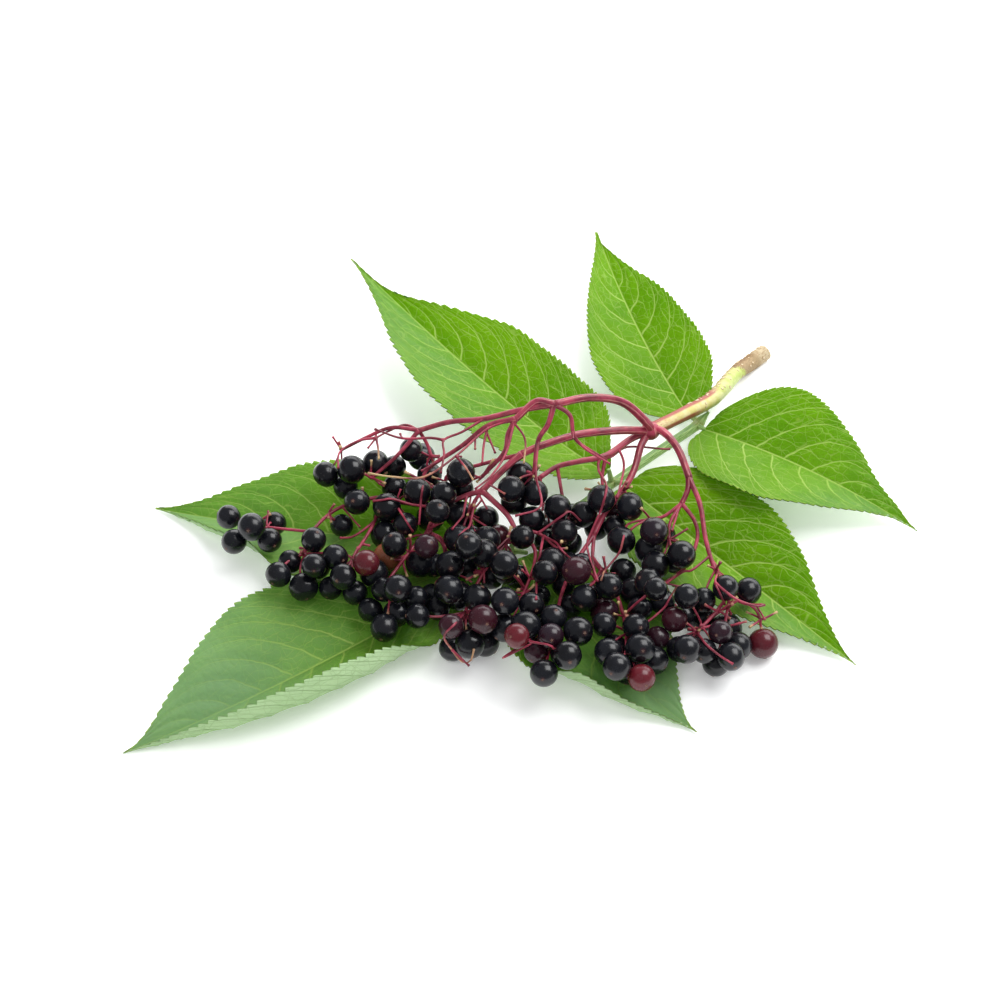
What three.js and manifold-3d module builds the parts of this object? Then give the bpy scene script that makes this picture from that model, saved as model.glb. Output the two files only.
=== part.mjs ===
// A fruiting head of black elder on its twig, lying on the leaf that grows from the same twig.
// Millimetres, +Z up, the table at z = 0.
import * as THREE from "three";
import { mergeVertices } from "three/addons/utils/BufferGeometryUtils.js";
import Module from "manifold-3d";

const wasm = await Module();
wasm.setup();

// ---- Driving dimensions -------------------------------------------------------------------
const BERRY_RADIUS = 3.15; // a ripe elderberry is 6 to 7 mm across
const BERRY_SPREAD = 0.4; // the most that one berry's radius differs from that
const BERRY_GAP = 0.36; // left between berries, and from a berry to whatever doesn't carry it
const PEDICEL_RADIUS = 0.5; // of the little stalk that carries one berry
const PEDICEL_SHORTEST = 4.8; // from the tip of a branch to a berry's centre
const PEDICEL_LONGEST = 9.5;
const BLADE = 0.7; // thickness of a leaflet
const TEETH = 10; // along each margin of a leaflet
const TOOTH = 1.1; // depth of a tooth
const NARROWEST = 0.4; // half-width of a leaflet at its two ends
const KNOB = 2.5; // radius of the knob where the five rays leave the twig
const MIDDLE = [8.85, 15.5]; // of the whole, seen from above, in the coordinates used below

// The twig, from its cut end on the table to the knob.
const TWIG = {
  radii: [2.2, 1.8],
  route: [[73, 64.5, 1.8], [68.5, 60, 1.8], [64, 53, 4.7], [56.5, 38, 9.5], [47.5, 26.5, 14.5],
    [38.5, 15.5, 19.5]],
};

// The leaf's stalk, from under the twig to its last leaflet.
const LEAF_STALK = {
  radii: [1.3, 1.0],
  route: [[55.5, 36, 6.4], [54, 35.5, 4.4], [51.5, 33.5, 3], [41, 24.5, 2.3], [30, 14.5, 1.9], [17, 2.5, 1.5],
    [4, -9, 1.2], [-1.2, -13.8, 1.2]],
};

// Each leaflet: the base, middle and tip of its midrib; the half-width of each side; how steeply each
// side rises at the base and at the tip, and how far its margin curls up, in degrees; the share of its
// length from which it curls; and the form of its outline. Sides are left, then right, as seen from the
// base looking to the tip. Pairs are numbered from the twig.
const LEAFLETS = {
  leaflet_1_left: {
    midrib: [[53.5, 32.5, 4], [80.5, 12.5, 8], [107.5, -2, 0.3]],
    halves: [21, 18.5],
    rise: [[10, 15], [3, 15]],
    curl: [0, 0],
    curlFrom: 1,
    outline: [0.42, 1.7, 1.8],
  },
  leaflet_1_right: {
    midrib: [[50.5, 38, 3.5], [37.5, 69, 8], [27.5, 106, 11]],
    halves: [17.5, 15.5],
    rise: [[4, 10], [2, 10]],
    curl: [0, 0],
    curlFrom: 1,
    outline: [0.45, 1.8, 1.9],
  },
  leaflet_2_left: {
    midrib: [[31.5, 12, 4], [61, -21, 4], [87, -47, 0.5]],
    halves: [20.5, 18],
    rise: [[4, 16], [0, 12]],
    curl: [0, 0],
    curlFrom: 1,
    outline: [0.42, 1.9, 1.8],
  },
  leaflet_2_right: {
    midrib: [[28.5, 14.5, 5], [-1, 40, 10], [-42.5, 93.5, 12]],
    halves: [17.5, 19.5],
    rise: [[6, 14], [4, 10]],
    curl: [0, 0],
    curlFrom: 1,
    outline: [0.7, 2.1, 1.7],
  },
  leaflet_3_left: {
    midrib: [[6, -12, 3.4], [27, -45, 1.6], [47, -67.5, 0.5]],
    halves: [19, 21],
    rise: [[0, 10], [0, 14]],
    curl: [0, 70],
    curlFrom: 0.4,
    outline: [0.6, 2.2, 2],
  },
  leaflet_3_right: {
    midrib: [[3, -10.5, 4.6], [-43, -5.5, 3.6], [-90, 6.5, 0.4]],
    halves: [20, 21.5],
    rise: [[0, 9], [2, 14]],
    curl: [75, 0],
    curlFrom: 0.55,
    outline: [0.55, 2.6, 1.8],
  },
  leaflet_end: {
    midrib: [[-2.6, -15.2, 1.5], [-45.5, -48.5, 2], [-89.5, -74, 0.5]],
    halves: [19.5, 25],
    rise: [[4, 24], [0, 12]],
    curl: [80, 0],
    curlFrom: 0.28,
    outline: [0.95, 2.8, 1.9],
  },
};

// The five rays of the head. Each has its stalks, with their radii at both ends and their routes, and
// its heads of berries: how many, the tip of the branch that carries them, and where they heap up.
const RAYS = {
  ray_tall: {
    stalks: [
      { radii: [1.15, 0.95], route: [[37.5, 14.5, 23], [31, 15, 30], [22.5, 12.5, 34], [13.5, 9, 35]] },
      { radii: [0.95, 0.85], route: [[13.5, 9, 35], [9, 10, 35], [4, 7, 32]] },
      {
        radii: [0.8, 0.65],
        route: [[13.5, 9, 35], [5, 9, 33], [-4, 9, 30], [-12.5, 11, 27], [-20.5, 11, 24]],
      },
      { radii: [0.75, 0.5], route: [[13.5, 9, 35], [12, 6, 31], [9.5, 3, 28], [8.5, -1.5, 21]] },
      { radii: [0.6, 0.4], route: [[13.5, 9, 35], [17.5, 7, 33], [19, 3.5, 28], [26.5, 2.5, 22]] },
      {
        radii: [0.75, 0.45],
        route: [[4, 7, 32], [-3, 6.5, 30], [-9.5, 4.5, 25], [-18, 2.5, 19], [-19.5, 0.5, 16.5]],
      },
      { radii: [0.7, 0.45], route: [[4, 7, 32], [2, 4.5, 29], [1, 1, 26], [-4.5, -1.5, 20]] },
      { radii: [0.55, 0.4], route: [[-20.5, 11, 24], [-27.5, 12, 24], [-34, 11.5, 21], [-40.5, 11, 17]] },
      { radii: [0.6, 0.4], route: [[-20.5, 11, 24], [-26, 6, 20], [-32.5, 3, 15]] },
      { radii: [0.5, 0.4], route: [[-20.5, 11, 24], [-18.5, 10, 20], [-17.5, 8, 18]] },
    ],
    heads: [
      { berries: 4, tip: [8.5, -1.5, 21], heap: [6, -5, 18] },
      { berries: 3, tip: [-19.5, 0.5, 16.5], heap: [-17.5, -2.5, 13] },
      { berries: 2, tip: [-4.5, -1.5, 20], heap: [-9, -4, 18] },
      { berries: 2, tip: [-40.5, 11, 17], heap: [-42.5, 2.5, 11] },
      { berries: 3, tip: [-32.5, 3, 15], heap: [-27.5, 7, 12.5] },
      { berries: 2, tip: [-17.5, 8, 18], heap: [-19.5, 11, 15] },
    ],
  },
  ray_left: {
    stalks: [
      {
        radii: [1.1, 0.9],
        route: [[35.5, 14, 21], [30, 12, 23], [20, 8.5, 25], [10.5, 4.5, 25], [5.5, 2.5, 24]],
      },
      { radii: [0.9, 0.8], route: [[5.5, 2.5, 24], [2, 0.5, 22], [-4.5, -3.5, 17]] },
      { radii: [0.7, 0.6], route: [[-4.5, -3.5, 17], [-9, -4.5, 16], [-16, -6.5, 14]] },
      {
        radii: [0.55, 0.4],
        route: [[-16, -6.5, 14], [-26, -3, 12.5], [-31, -1, 12], [-41, -4.5, 11.5], [-47, -12.5, 11.5],
          [-48.5, -20, 11.5]],
      },
      { radii: [0.4, 0.35], route: [[-47, -12.5, 11.5], [-55, -10.5, 10.5], [-62, -8.5, 9.5]] },
      { radii: [0.45, 0.4], route: [[-31, -1, 12], [-31.5, -9.5, 12], [-36.5, -21.5, 11.5]] },
      { radii: [0.55, 0.4], route: [[-16, -6.5, 14], [-18, -13, 12.5], [-22, -19, 12], [-27, -27.5, 11]] },
      { radii: [0.45, 0.35], route: [[-18, -13, 12.5], [-14, -17.5, 11.5], [-14, -25.5, 10]] },
      { radii: [0.75, 0.6], route: [[-4.5, -3.5, 17], [1.5, -9.5, 15], [4, -13.5, 13]] },
      { radii: [0.5, 0.4], route: [[4, -13.5, 13], [1.5, -17, 12], [-4, -25, 10.5], [-8.5, -37, 9]] },
      { radii: [0.5, 0.4], route: [[4, -13.5, 13], [8.5, -18.5, 12], [8, -25, 10.5], [5, -33.5, 9.5]] },
      { radii: [0.5, 0.35], route: [[4, -13.5, 13], [9.5, -14, 12.5], [14.5, -18.5, 11.5]] },
      { radii: [0.55, 0.4], route: [[5.5, 2.5, 24], [-3, 2.5, 21], [-12.5, 2.5, 17], [-14, 1.5, 15]] },
      { radii: [0.5, 0.35], route: [[-4.5, -3.5, 17], [-6.5, -5.5, 15], [-8, -8, 13]] },
    ],
    heads: [
      { berries: 5, tip: [-48.5, -20, 11.5], heap: [-44, -30.5, 9] },
      { berries: 3, tip: [-62, -8.5, 9.5], heap: [-63, -12, 8] },
      { berries: 5, tip: [-36.5, -21.5, 11.5], heap: [-34, -33.5, 8] },
      { berries: 6, tip: [-27, -27.5, 11], heap: [-24.5, -39.5, 7] },
      { berries: 4, tip: [-14, -25.5, 10], heap: [-14.5, -34.5, 6] },
      { berries: 6, tip: [-8.5, -37, 9], heap: [-6.5, -49.5, 5] },
      { berries: 5, tip: [5, -33.5, 9.5], heap: [5, -43, 5] },
      { berries: 4, tip: [14.5, -18.5, 11.5], heap: [15, -23.5, 8] },
      { berries: 3, tip: [-14, 1.5, 15], heap: [-15.5, -8.5, 10] },
      { berries: 4, tip: [-8, -8, 13], heap: [-3, -19, 8] },
      { berries: 4, tip: [-26, -3, 12.5], heap: [-27.5, -10, 10] },
      { berries: 2, tip: [-18, -13, 12.5], heap: [-18.5, -23, 8] },
      { berries: 3, tip: [1.5, -17, 12], heap: [0, -26, 7.5] },
    ],
  },
  ray_middle: {
    stalks: [
      {
        radii: [0.95, 0.6],
        route: [[33.5, 13.5, 18.5], [27, 8, 18], [20.5, 6, 18], [14.5, 4.5, 17.5], [10, 1, 17]],
      },
      { radii: [0.5, 0.4], route: [[10, 1, 17], [10.5, -2, 14], [11, -4.5, 12.5]] },
      { radii: [0.55, 0.4], route: [[27, 8, 18], [26, 4, 15.5], [26, 0.5, 13]] },
      { radii: [0.5, 0.4], route: [[14.5, 4.5, 17.5], [15.5, -0.5, 14], [16.5, -5, 11]] },
    ],
    heads: [
      { berries: 4, tip: [11, -4.5, 12.5], heap: [14.5, -10.5, 10] },
      { berries: 3, tip: [26, 0.5, 13], heap: [22.5, -16, 8] },
      { berries: 3, tip: [16.5, -5, 11], heap: [9, -13, 6] },
    ],
  },
  ray_front: {
    stalks: [
      {
        radii: [1, 0.65],
        route: [[36, 11.5, 18], [34, 4, 17], [31, -2, 15.5], [26.5, -7.5, 13.5], [23.5, -13.5, 11.5]],
      },
      { radii: [0.5, 0.4], route: [[23.5, -13.5, 11.5], [23, -20, 10], [23.5, -26.5, 9]] },
      {
        radii: [0.55, 0.4],
        route: [[23.5, -13.5, 11.5], [18.5, -22.5, 10.5], [15, -32, 9.5], [13, -43.5, 9]],
      },
      { radii: [0.5, 0.4], route: [[23, -20, 10], [27, -27, 9.5], [29.5, -35, 9], [30.5, -44, 9]] },
    ],
    heads: [
      { berries: 3, tip: [31, -2, 15.5], heap: [28.5, -7.5, 12] },
      { berries: 6, tip: [23.5, -26.5, 9], heap: [21.5, -38.5, 5.5] },
      { berries: 6, tip: [13, -41.5, 9], heap: [11.5, -54.5, 4.5] },
      { berries: 5, tip: [30.5, -44, 9], heap: [32, -54.5, 4.5] },
    ],
  },
  ray_right: {
    stalks: [
      { radii: [1.05, 0.9], route: [[41, 14.5, 20.5], [43.5, 9.5, 22], [45.5, 5, 21.5], [47.5, -1, 19]] },
      { radii: [0.75, 0.65], route: [[47.5, -1, 19], [47, -4, 17.5], [45.5, -7, 16]] },
      { radii: [0.5, 0.4], route: [[45.5, -7, 16], [41, -10, 14.5], [37.5, -10, 13.5]] },
      { radii: [0.5, 0.4], route: [[45.5, -7, 16], [42.5, -12, 14.5], [42, -16, 12.5]] },
      {
        radii: [0.55, 0.4],
        route: [[45.5, -7, 16], [48.5, -11.5, 14.5], [49, -16.5, 13], [46, -24, 11.5], [40.5, -29, 10.5]],
      },
      {
        radii: [0.7, 0.5],
        route: [[47.5, -1, 19], [50, -8, 16.5], [51, -17.5, 14], [53, -26, 12], [56.5, -31.5, 10.5]],
      },
      { radii: [0.45, 0.35], route: [[56.5, -31.5, 10.5], [58, -34, 10], [61, -35, 9.5], [64, -35.5, 10]] },
      { radii: [0.4, 0.35], route: [[61, -35, 9.5], [62.5, -36.5, 9], [63.5, -38.5, 8]] },
      { radii: [0.45, 0.4], route: [[56.5, -31.5, 10.5], [52.5, -37.5, 9.5], [47.5, -43.5, 9]] },
      { radii: [0.4, 0.35], route: [[56.5, -31.5, 10.5], [55.5, -36, 9.5], [54.5, -41.5, 9]] },
    ],
    heads: [
      { berries: 4, tip: [37.5, -10, 13.5], heap: [37.5, -17, 9] },
      { berries: 3, tip: [42, -16, 12.5], heap: [42.5, -25.5, 8] },
      { berries: 5, tip: [40.5, -29, 10.5], heap: [36.5, -33.5, 7] },
      { berries: 3, tip: [53, -26, 12], heap: [49, -35.5, 8] },
      { berries: 1, tip: [63.5, -38.5, 8], heap: [61, -44, 4] },
      { berries: 5, tip: [47.5, -43.5, 9], heap: [42, -47, 5] },
      { berries: 5, tip: [54.5, -41.5, 9], heap: [52, -50.5, 4.5] },
    ],
  },
};

const COLOURS = {
  bark: 0xb9a878,
  leafStalk: 0x7fa04c,
  leaf: 0x4f9a24,
  fruit: 0x2a1420,
};

// ---- Vectors as plain triples ---------------------------------------------------------------
const add = (a, b) => [a[0] + b[0], a[1] + b[1], a[2] + b[2]];
const subtract = (a, b) => [a[0] - b[0], a[1] - b[1], a[2] - b[2]];
const scale = (a, k) => [a[0] * k, a[1] * k, a[2] * k];
const length = (a) => Math.sqrt(a[0] * a[0] + a[1] * a[1] + a[2] * a[2]);
const unit = (a) => scale(a, 1 / length(a));
const cross = (a, b) => [a[1] * b[2] - a[2] * b[1], a[2] * b[0] - a[0] * b[2], a[0] * b[1] - a[1] * b[0]];
const mix = (a, b, t) => a + (b - a) * t;
const ease = (x) => {
  const t = Math.min(Math.max(x, 0), 1);
  return t * t * (3 - 2 * t);
};

// ---- Curves and solids ----------------------------------------------------------------------

// A smooth line through the given points, with this many steps between two of them.
function through(points, steps) {
  const last = points.length - 1;
  const before = subtract(scale(points[0], 2), points[1]);
  const after = subtract(scale(points[last], 2), points[last - 1]);
  const line = [points[0]];
  for (let i = 0; i < last; i += 1) {
    const p0 = i > 0 ? points[i - 1] : before;
    const p1 = points[i];
    const p2 = points[i + 1];
    const p3 = i + 2 <= last ? points[i + 2] : after;
    for (let k = 1; k <= steps; k += 1) {
      const t = k / steps;
      line.push([0, 1, 2].map((a) => {
        const bend = 2 * p0[a] - 5 * p1[a] + 4 * p2[a] - p3[a];
        const twist = 3 * p1[a] - p0[a] - 3 * p2[a] + p3[a];
        return 0.5 * (2 * p1[a] + (p2[a] - p0[a]) * t + bend * t * t + twist * t * t * t);
      }));
    }
  }
  return line;
}

// The corners of a regular polygon round a centre, square to a direction.
function ring(centre, along, radius, sides) {
  const reference = Math.abs(along[2]) > 0.9 ? [0, 1, 0] : [0, 0, 1];
  const side = unit(cross(reference, along));
  const up = cross(along, side);
  return Array.from({ length: sides }, (_, k) => {
    const angle = (2 * Math.PI * k) / sides;
    const across = add(scale(side, radius * Math.cos(angle)), scale(up, radius * Math.sin(angle)));
    return add(centre, across);
  });
}

// The faces between two rings with as many corners, the first of them starting at these corners.
function band(first, second, sides) {
  return Array.from({ length: sides }, (_, k) => k).flatMap((k) => {
    const next = (k + 1) % sides;
    return [
      [first + k, first + next, second + next],
      [first + k, second + next, second + k],
    ];
  });
}

// The faces that close a ring, seen from beyond its end or, at a start, from before it.
function lid(first, sides, start) {
  return Array.from({ length: sides - 2 }, (_, k) =>
    start ? [first, first + k + 2, first + k + 1] : [first, first + k + 1, first + k + 2],
  );
}

// A closed tube along a line, tapering from one radius to the other.
function tube(line, radii, sides) {
  const last = line.length - 1;
  const points = line.flatMap((centre, i) => {
    const along = unit(subtract(line[Math.min(i + 1, last)], line[Math.max(i - 1, 0)]));
    return ring(centre, along, mix(radii[0], radii[1], i / last), sides);
  });
  const faces = [...lid(0, sides, true), ...lid(last * sides, sides, false)];
  for (let i = 0; i < last; i += 1) {
    faces.push(...band(i * sides, (i + 1) * sides, sides));
  }
  return solid(points, faces);
}

function solid(points, faces) {
  const vertices = new Float32Array(points.flat());
  return new wasm.Manifold(
    new wasm.Mesh({ numProp: 3, vertProperties: vertices, triVerts: new Uint32Array(faces.flat()) }),
  );
}

// A three.js geometry moved to its place, as a solid.
function solidOf(geometry, place) {
  geometry.translate(place[0], place[1], place[2]);
  geometry.deleteAttribute("normal");
  geometry.deleteAttribute("uv");
  const merged = mergeVertices(geometry, 1e-4);
  return new wasm.Manifold(
    new wasm.Mesh({
      numProp: 3,
      vertProperties: new Float32Array(merged.attributes.position.array),
      triVerts: new Uint32Array(merged.index.array),
    }),
  );
}

const TABLE_SLAB = [600, 600, 40];

// What lies under the table's surface is cut off, which leaves the small flat spots the part rests on.
function onTable(body) {
  const slab = solidOf(new THREE.BoxGeometry(...TABLE_SLAB), [0, 0, -TABLE_SLAB[2] / 2]);
  return body.subtract(slab);
}

function node(name, body, colour, roughness) {
  const mesh = body.getMesh();
  const geometry = new THREE.BufferGeometry();
  const positions = new Float32Array((mesh.vertProperties.length / mesh.numProp) * 3);
  for (let i = 0; i < positions.length / 3; i += 1) {
    for (let a = 0; a < 3; a += 1) {
      positions[i * 3 + a] = mesh.vertProperties[i * mesh.numProp + a];
    }
  }
  geometry.setAttribute("position", new THREE.BufferAttribute(positions, 3));
  geometry.setIndex(new THREE.BufferAttribute(new Uint32Array(mesh.triVerts), 1));
  geometry.computeVertexNormals();
  const material = new THREE.MeshStandardMaterial({ color: colour, roughness, metalness: 0 });
  const part = new THREE.Mesh(geometry, material);
  part.name = name;
  return part;
}

// ---- Leaflets -------------------------------------------------------------------------------

// How wide a leaflet is at a share s of its length: round at the base, drawn out at the tip, and 1
// where it is widest.
function outlineWidth(outline, s) {
  const [fullness, turn, taper] = outline;
  const width = (x) => x ** fullness * (1 - x ** turn) ** taper;
  const widest = (fullness / (fullness + turn * taper)) ** (1 / turn);
  return width(s) / width(widest);
}

const CURL_START = 0.62; // share of the half-width at which a margin starts to curl
const CURL_END = 0.92;
const CURL_ONSET = 0.18; // share of the length over which it comes to its full angle
const RISE_STEPS = 12; // in which a side's rise is summed from the midrib out

// A point of a leaflet's upper face: s runs from base to tip, t from -1 at the right margin through 0
// at the midrib to 1 at the left one. The side leaves the midrib level with the table and across it,
// rises at the leaflet's angle, and turns up where it curls.
function bladePoint(leaflet, s, t, tooth) {
  const [base, middle, tip] = leaflet.midrib;
  const side = t >= 0 ? 0 : 1;
  const reach = Math.abs(t);
  const rib = [0, 1, 2].map(
    (a) => (1 - s) * (1 - 2 * s) * base[a] + 4 * s * (1 - s) * middle[a] + s * (2 * s - 1) * tip[a],
  );
  const run = [0, 1].map((a) => (4 * s - 3) * base[a] + (4 - 8 * s) * middle[a] + (4 * s - 1) * tip[a]);
  const pace = Math.sqrt(run[0] * run[0] + run[1] * run[1]);
  const across = [-run[1] / pace, run[0] / pace];
  const full = leaflet.halves[side] * outlineWidth(leaflet.outline, s);
  const width = Math.max(full - Math.min(tooth, 0.3 * full), NARROWEST);
  const [low, high] = leaflet.rise[side];
  const rise = mix(low, high, ease(s / 0.6));
  const curl = leaflet.curl[side] * ease((s - leaflet.curlFrom) / CURL_ONSET);
  let out = 0;
  let up = 0;
  for (let k = 0; k < RISE_STEPS; k += 1) {
    const q = (reach * (k + 0.5)) / RISE_STEPS;
    const angle = ((rise + curl * ease((q - CURL_START) / (CURL_END - CURL_START))) * Math.PI) / 180;
    out += (width * reach * Math.cos(angle)) / RISE_STEPS;
    up += (width * reach * Math.sin(angle)) / RISE_STEPS;
  }
  const sign = side === 0 ? 1 : -1;
  return [rib[0] + sign * across[0] * out, rib[1] + sign * across[1] * out, rib[2] + up];
}

const BLADE_ENDS = [0.012, 0.992]; // shares of the midrib's length
const BLADE_STATIONS = [-1, -0.72, 0, 0.72, 1]; // shares of the half-widths

// A toothed blade: its upper face on a grid of stations, its lower face the blade's thickness below
// that along the normals, and a rim that joins them.
function blade(leaflet) {
  const columns = 2 * TEETH;
  const rows = BLADE_STATIONS.length;
  const upper = [];
  const lower = [];
  for (let i = 0; i <= columns; i += 1) {
    const s = mix(BLADE_ENDS[0], BLADE_ENDS[1], i / columns);
    for (const t of BLADE_STATIONS) {
      const tooth = i % 2 === 0 && Math.abs(t) === 1 ? TOOTH : 0;
      const point = bladePoint(leaflet, s, t, tooth);
      const step = 0.004;
      const ahead = bladePoint(leaflet, Math.min(s + step, 1), t, 0);
      const behind = bladePoint(leaflet, Math.max(s - step, 0), t, 0);
      const inward = t > 0 || (t === 0 && leaflet.curl[0] > 0) ? t - 0.05 : t + 0.05;
      const beside = subtract(bladePoint(leaflet, s, inward, 0), bladePoint(leaflet, s, t, 0));
      const normal = unit(cross(subtract(ahead, behind), scale(beside, inward - t)));
      upper.push(point);
      lower.push(subtract(point, scale(normal, BLADE)));
    }
  }
  const points = [...upper, ...lower];
  const under = upper.length;
  const faces = [];
  const quad = (a, b, c, d) => faces.push([a, b, c], [a, c, d]);
  const at = (i, j) => i * rows + j;
  for (let i = 0; i < columns; i += 1) {
    for (let j = 0; j < rows - 1; j += 1) {
      quad(at(i, j), at(i + 1, j), at(i + 1, j + 1), at(i, j + 1));
      faces.push([at(i, j) + under, at(i + 1, j + 1) + under, at(i + 1, j) + under]);
      faces.push([at(i, j) + under, at(i, j + 1) + under, at(i + 1, j + 1) + under]);
    }
    quad(at(i + 1, 0), at(i, 0), at(i, 0) + under, at(i + 1, 0) + under);
    quad(at(i, rows - 1), at(i + 1, rows - 1), at(i + 1, rows - 1) + under, at(i, rows - 1) + under);
  }
  for (let j = 0; j < rows - 1; j += 1) {
    quad(at(0, j), at(0, j + 1), at(0, j + 1) + under, at(0, j) + under);
    quad(at(columns, j + 1), at(columns, j), at(columns, j) + under, at(columns, j + 1) + under);
  }
  return onTable(solid(points, faces));
}

// ---- Stalks ---------------------------------------------------------------------------------
const STALK_STEPS = 3; // between two points of a route, where berries are kept off it
const TWIG_SIDES = 7;
const KNOB_PLACE = TWIG.route[TWIG.route.length - 1];

function twig() {
  const stem = tube(through(TWIG.route, 2), TWIG.radii, TWIG_SIDES);
  const knob = solidOf(new THREE.IcosahedronGeometry(KNOB, 1), KNOB_PLACE);
  return onTable(stem.add(knob));
}

const LEAFLET_STALK = [0.75, 0.65]; // radii of the short stalk of a leaflet
const LEAFLET_GAP = 0.7; // from its end to the start of the leaflet's midrib

// The leaf's stalk with a short stalk to each of its leaflets.
function leafStalk() {
  let body = tube(through(LEAF_STALK.route, 2), LEAF_STALK.radii, 5);
  for (const leaflet of Object.values(LEAFLETS)) {
    const base = leaflet.midrib[0];
    const line = through(LEAF_STALK.route, 8);
    const root = line.reduce((a, b) => (length(subtract(b, base)) < length(subtract(a, base)) ? b : a));
    const reach = length(subtract(base, root));
    const end = add(root, scale(subtract(base, root), (reach - LEAFLET_GAP) / reach));
    body = body.add(tube([root, end], LEAFLET_STALK, 3));
  }
  return onTable(body);
}

// ---- Berries --------------------------------------------------------------------------------

// A repeatable draw between 0 and 1.
function drawer(seed) {
  let state = seed;
  return () => {
    state = (state * 16807) % 2147483647;
    return state / 2147483647;
  };
}

const SEED = 777;
const HEAP_ROUNDS = 60;
const HEAP_PULL = 0.04; // how much of the way back to its place in the heap a berry moves in a round
const LEAF_POINT = 0.95; // a leaflet is felt as points of this radius, close together
const LIFTED_WITHIN = 3; // a berry starts above whatever leaflet is this near, seen from above,
const LIFT = 0.7; // by this much
const FELT_WITHIN = 13; // of a berry's place, anything further off can't touch it

// Round a point, spread evenly over a small ball.
function scatter(count, draw) {
  const places = [];
  for (let k = 0; k < count; k += 1) {
    const z = 1 - (2 * k + 1) / count;
    const ring = Math.sqrt(1 - z * z);
    const x = 2 * draw() - 1;
    const y = 2 * draw() - 1;
    const turn = Math.sqrt(x * x + y * y) + 0.001;
    const size = 2.2 + 1.6 * draw();
    places.push([(ring * size * x) / turn, (ring * size * y) / turn, z * size]);
  }
  return places;
}

// The stalks that a berry may touch, as balls: [centre, radius].
function stalkBalls() {
  const balls = [];
  for (const { stalks } of Object.values(RAYS)) {
    for (const stalk of stalks) {
      for (const centre of through(stalk.route, STALK_STEPS)) {
        balls.push([centre, stalk.radii[0]]);
      }
    }
  }
  for (const centre of through(LEAF_STALK.route, 8)) {
    balls.push([centre, LEAF_STALK.radii[0]]);
  }
  return balls;
}

// The leaflets' upper faces, as balls close together.
function bladeBalls() {
  const balls = [];
  for (const leaflet of Object.values(LEAFLETS)) {
    for (let i = 0; i <= 36; i += 1) {
      for (let j = -7; j <= 7; j += 1) {
        const point = bladePoint(leaflet, mix(BLADE_ENDS[0], BLADE_ENDS[1], i / 36), j / 7, 0);
        balls.push([point.map((v) => Math.round(v * 100) / 100), LEAF_POINT]);
      }
    }
  }
  return balls;
}

// Places every berry: each head is scattered round its heap, then all are pushed apart in turn, kept
// within reach of the tip that carries them, off the stalks, the leaflets and the table.
function placeBerries() {
  const draw = drawer(SEED);
  const berries = [];
  for (const [ray, { heads }] of Object.entries(RAYS)) {
    heads.forEach((head) => {
      for (const offset of scatter(head.berries, draw)) {
        const radius = BERRY_RADIUS + BERRY_SPREAD * (2 * draw() - 1);
        berries.push({ ray, tip: head.tip, radius, home: add(head.heap, offset) });
      }
    });
  }
  const stalks = stalkBalls();
  const blades = bladeBalls();
  for (const berry of berries) {
    const [x, y] = berry.home;
    for (const [centre] of blades) {
      const aside = (centre[0] - x) * (centre[0] - x) + (centre[1] - y) * (centre[1] - y);
      if (aside < LIFTED_WITHIN * LIFTED_WITHIN) {
        berry.home[2] = Math.max(berry.home[2], centre[2] + berry.radius + LIFT);
      }
    }
    berry.at = [...berry.home];
    berry.near = [...stalks, ...blades].filter(
      ([centre]) => length(subtract(centre, berry.home)) < FELT_WITHIN,
    );
  }
  for (let round = 0; round < HEAP_ROUNDS; round += 1) {
    const pull = round < HEAP_ROUNDS - 20 ? HEAP_PULL : 0;
    berries.forEach((berry) => {
      berry.at = add(berry.at, scale(subtract(berry.home, berry.at), pull));
    });
    for (let i = 0; i < berries.length; i += 1) {
      for (let j = 0; j < i; j += 1) {
        const a = berries[i];
        const b = berries[j];
        const line = subtract(a.at, b.at);
        const apart = length(line);
        const needed = a.radius + b.radius + BERRY_GAP;
        if (apart < needed && apart > 0) {
          const push = scale(line, (needed - apart) / apart / 2);
          a.at = add(a.at, push);
          b.at = subtract(b.at, push);
        }
      }
    }
    for (const berry of berries) {
      for (const other of berries) {
        if (other.tip !== berry.tip) {
          for (const share of [0.25, 0.5, 0.75]) {
            const point = add(other.tip, scale(subtract(other.at, other.tip), share));
            pushOff(berry, point, PEDICEL_RADIUS);
          }
        }
      }
      for (const [centre, radius] of berry.near) {
        pushOff(berry, centre, radius);
      }
      const line = subtract(berry.at, berry.tip);
      const reach = length(line);
      if (reach > PEDICEL_LONGEST) {
        berry.at = add(berry.tip, scale(line, PEDICEL_LONGEST / reach));
      } else if (reach < PEDICEL_SHORTEST) {
        berry.at = add(berry.tip, scale(line, PEDICEL_SHORTEST / reach));
      }
      if (berry.at[2] < berry.radius + 0.02) {
        berry.at = [berry.at[0], berry.at[1], berry.radius + 0.02];
      }
    }
  }
  return berries;
}

function pushOff(berry, centre, radius) {
  const line = subtract(berry.at, centre);
  const apart = length(line);
  const needed = berry.radius + radius + BERRY_GAP;
  if (apart < needed && apart > 0) {
    berry.at = add(berry.at, scale(line, (needed - apart) / apart));
  }
}

const BERRY_SIDES = 6;
const BERRY_RINGS = [-0.707, 0, 0.707, 0.95]; // places along the radius, from the stalk's side to the scar's
const BERRY_FULLNESS = 1.06; // lets the flat sides enclose as much as the round berry does

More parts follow.
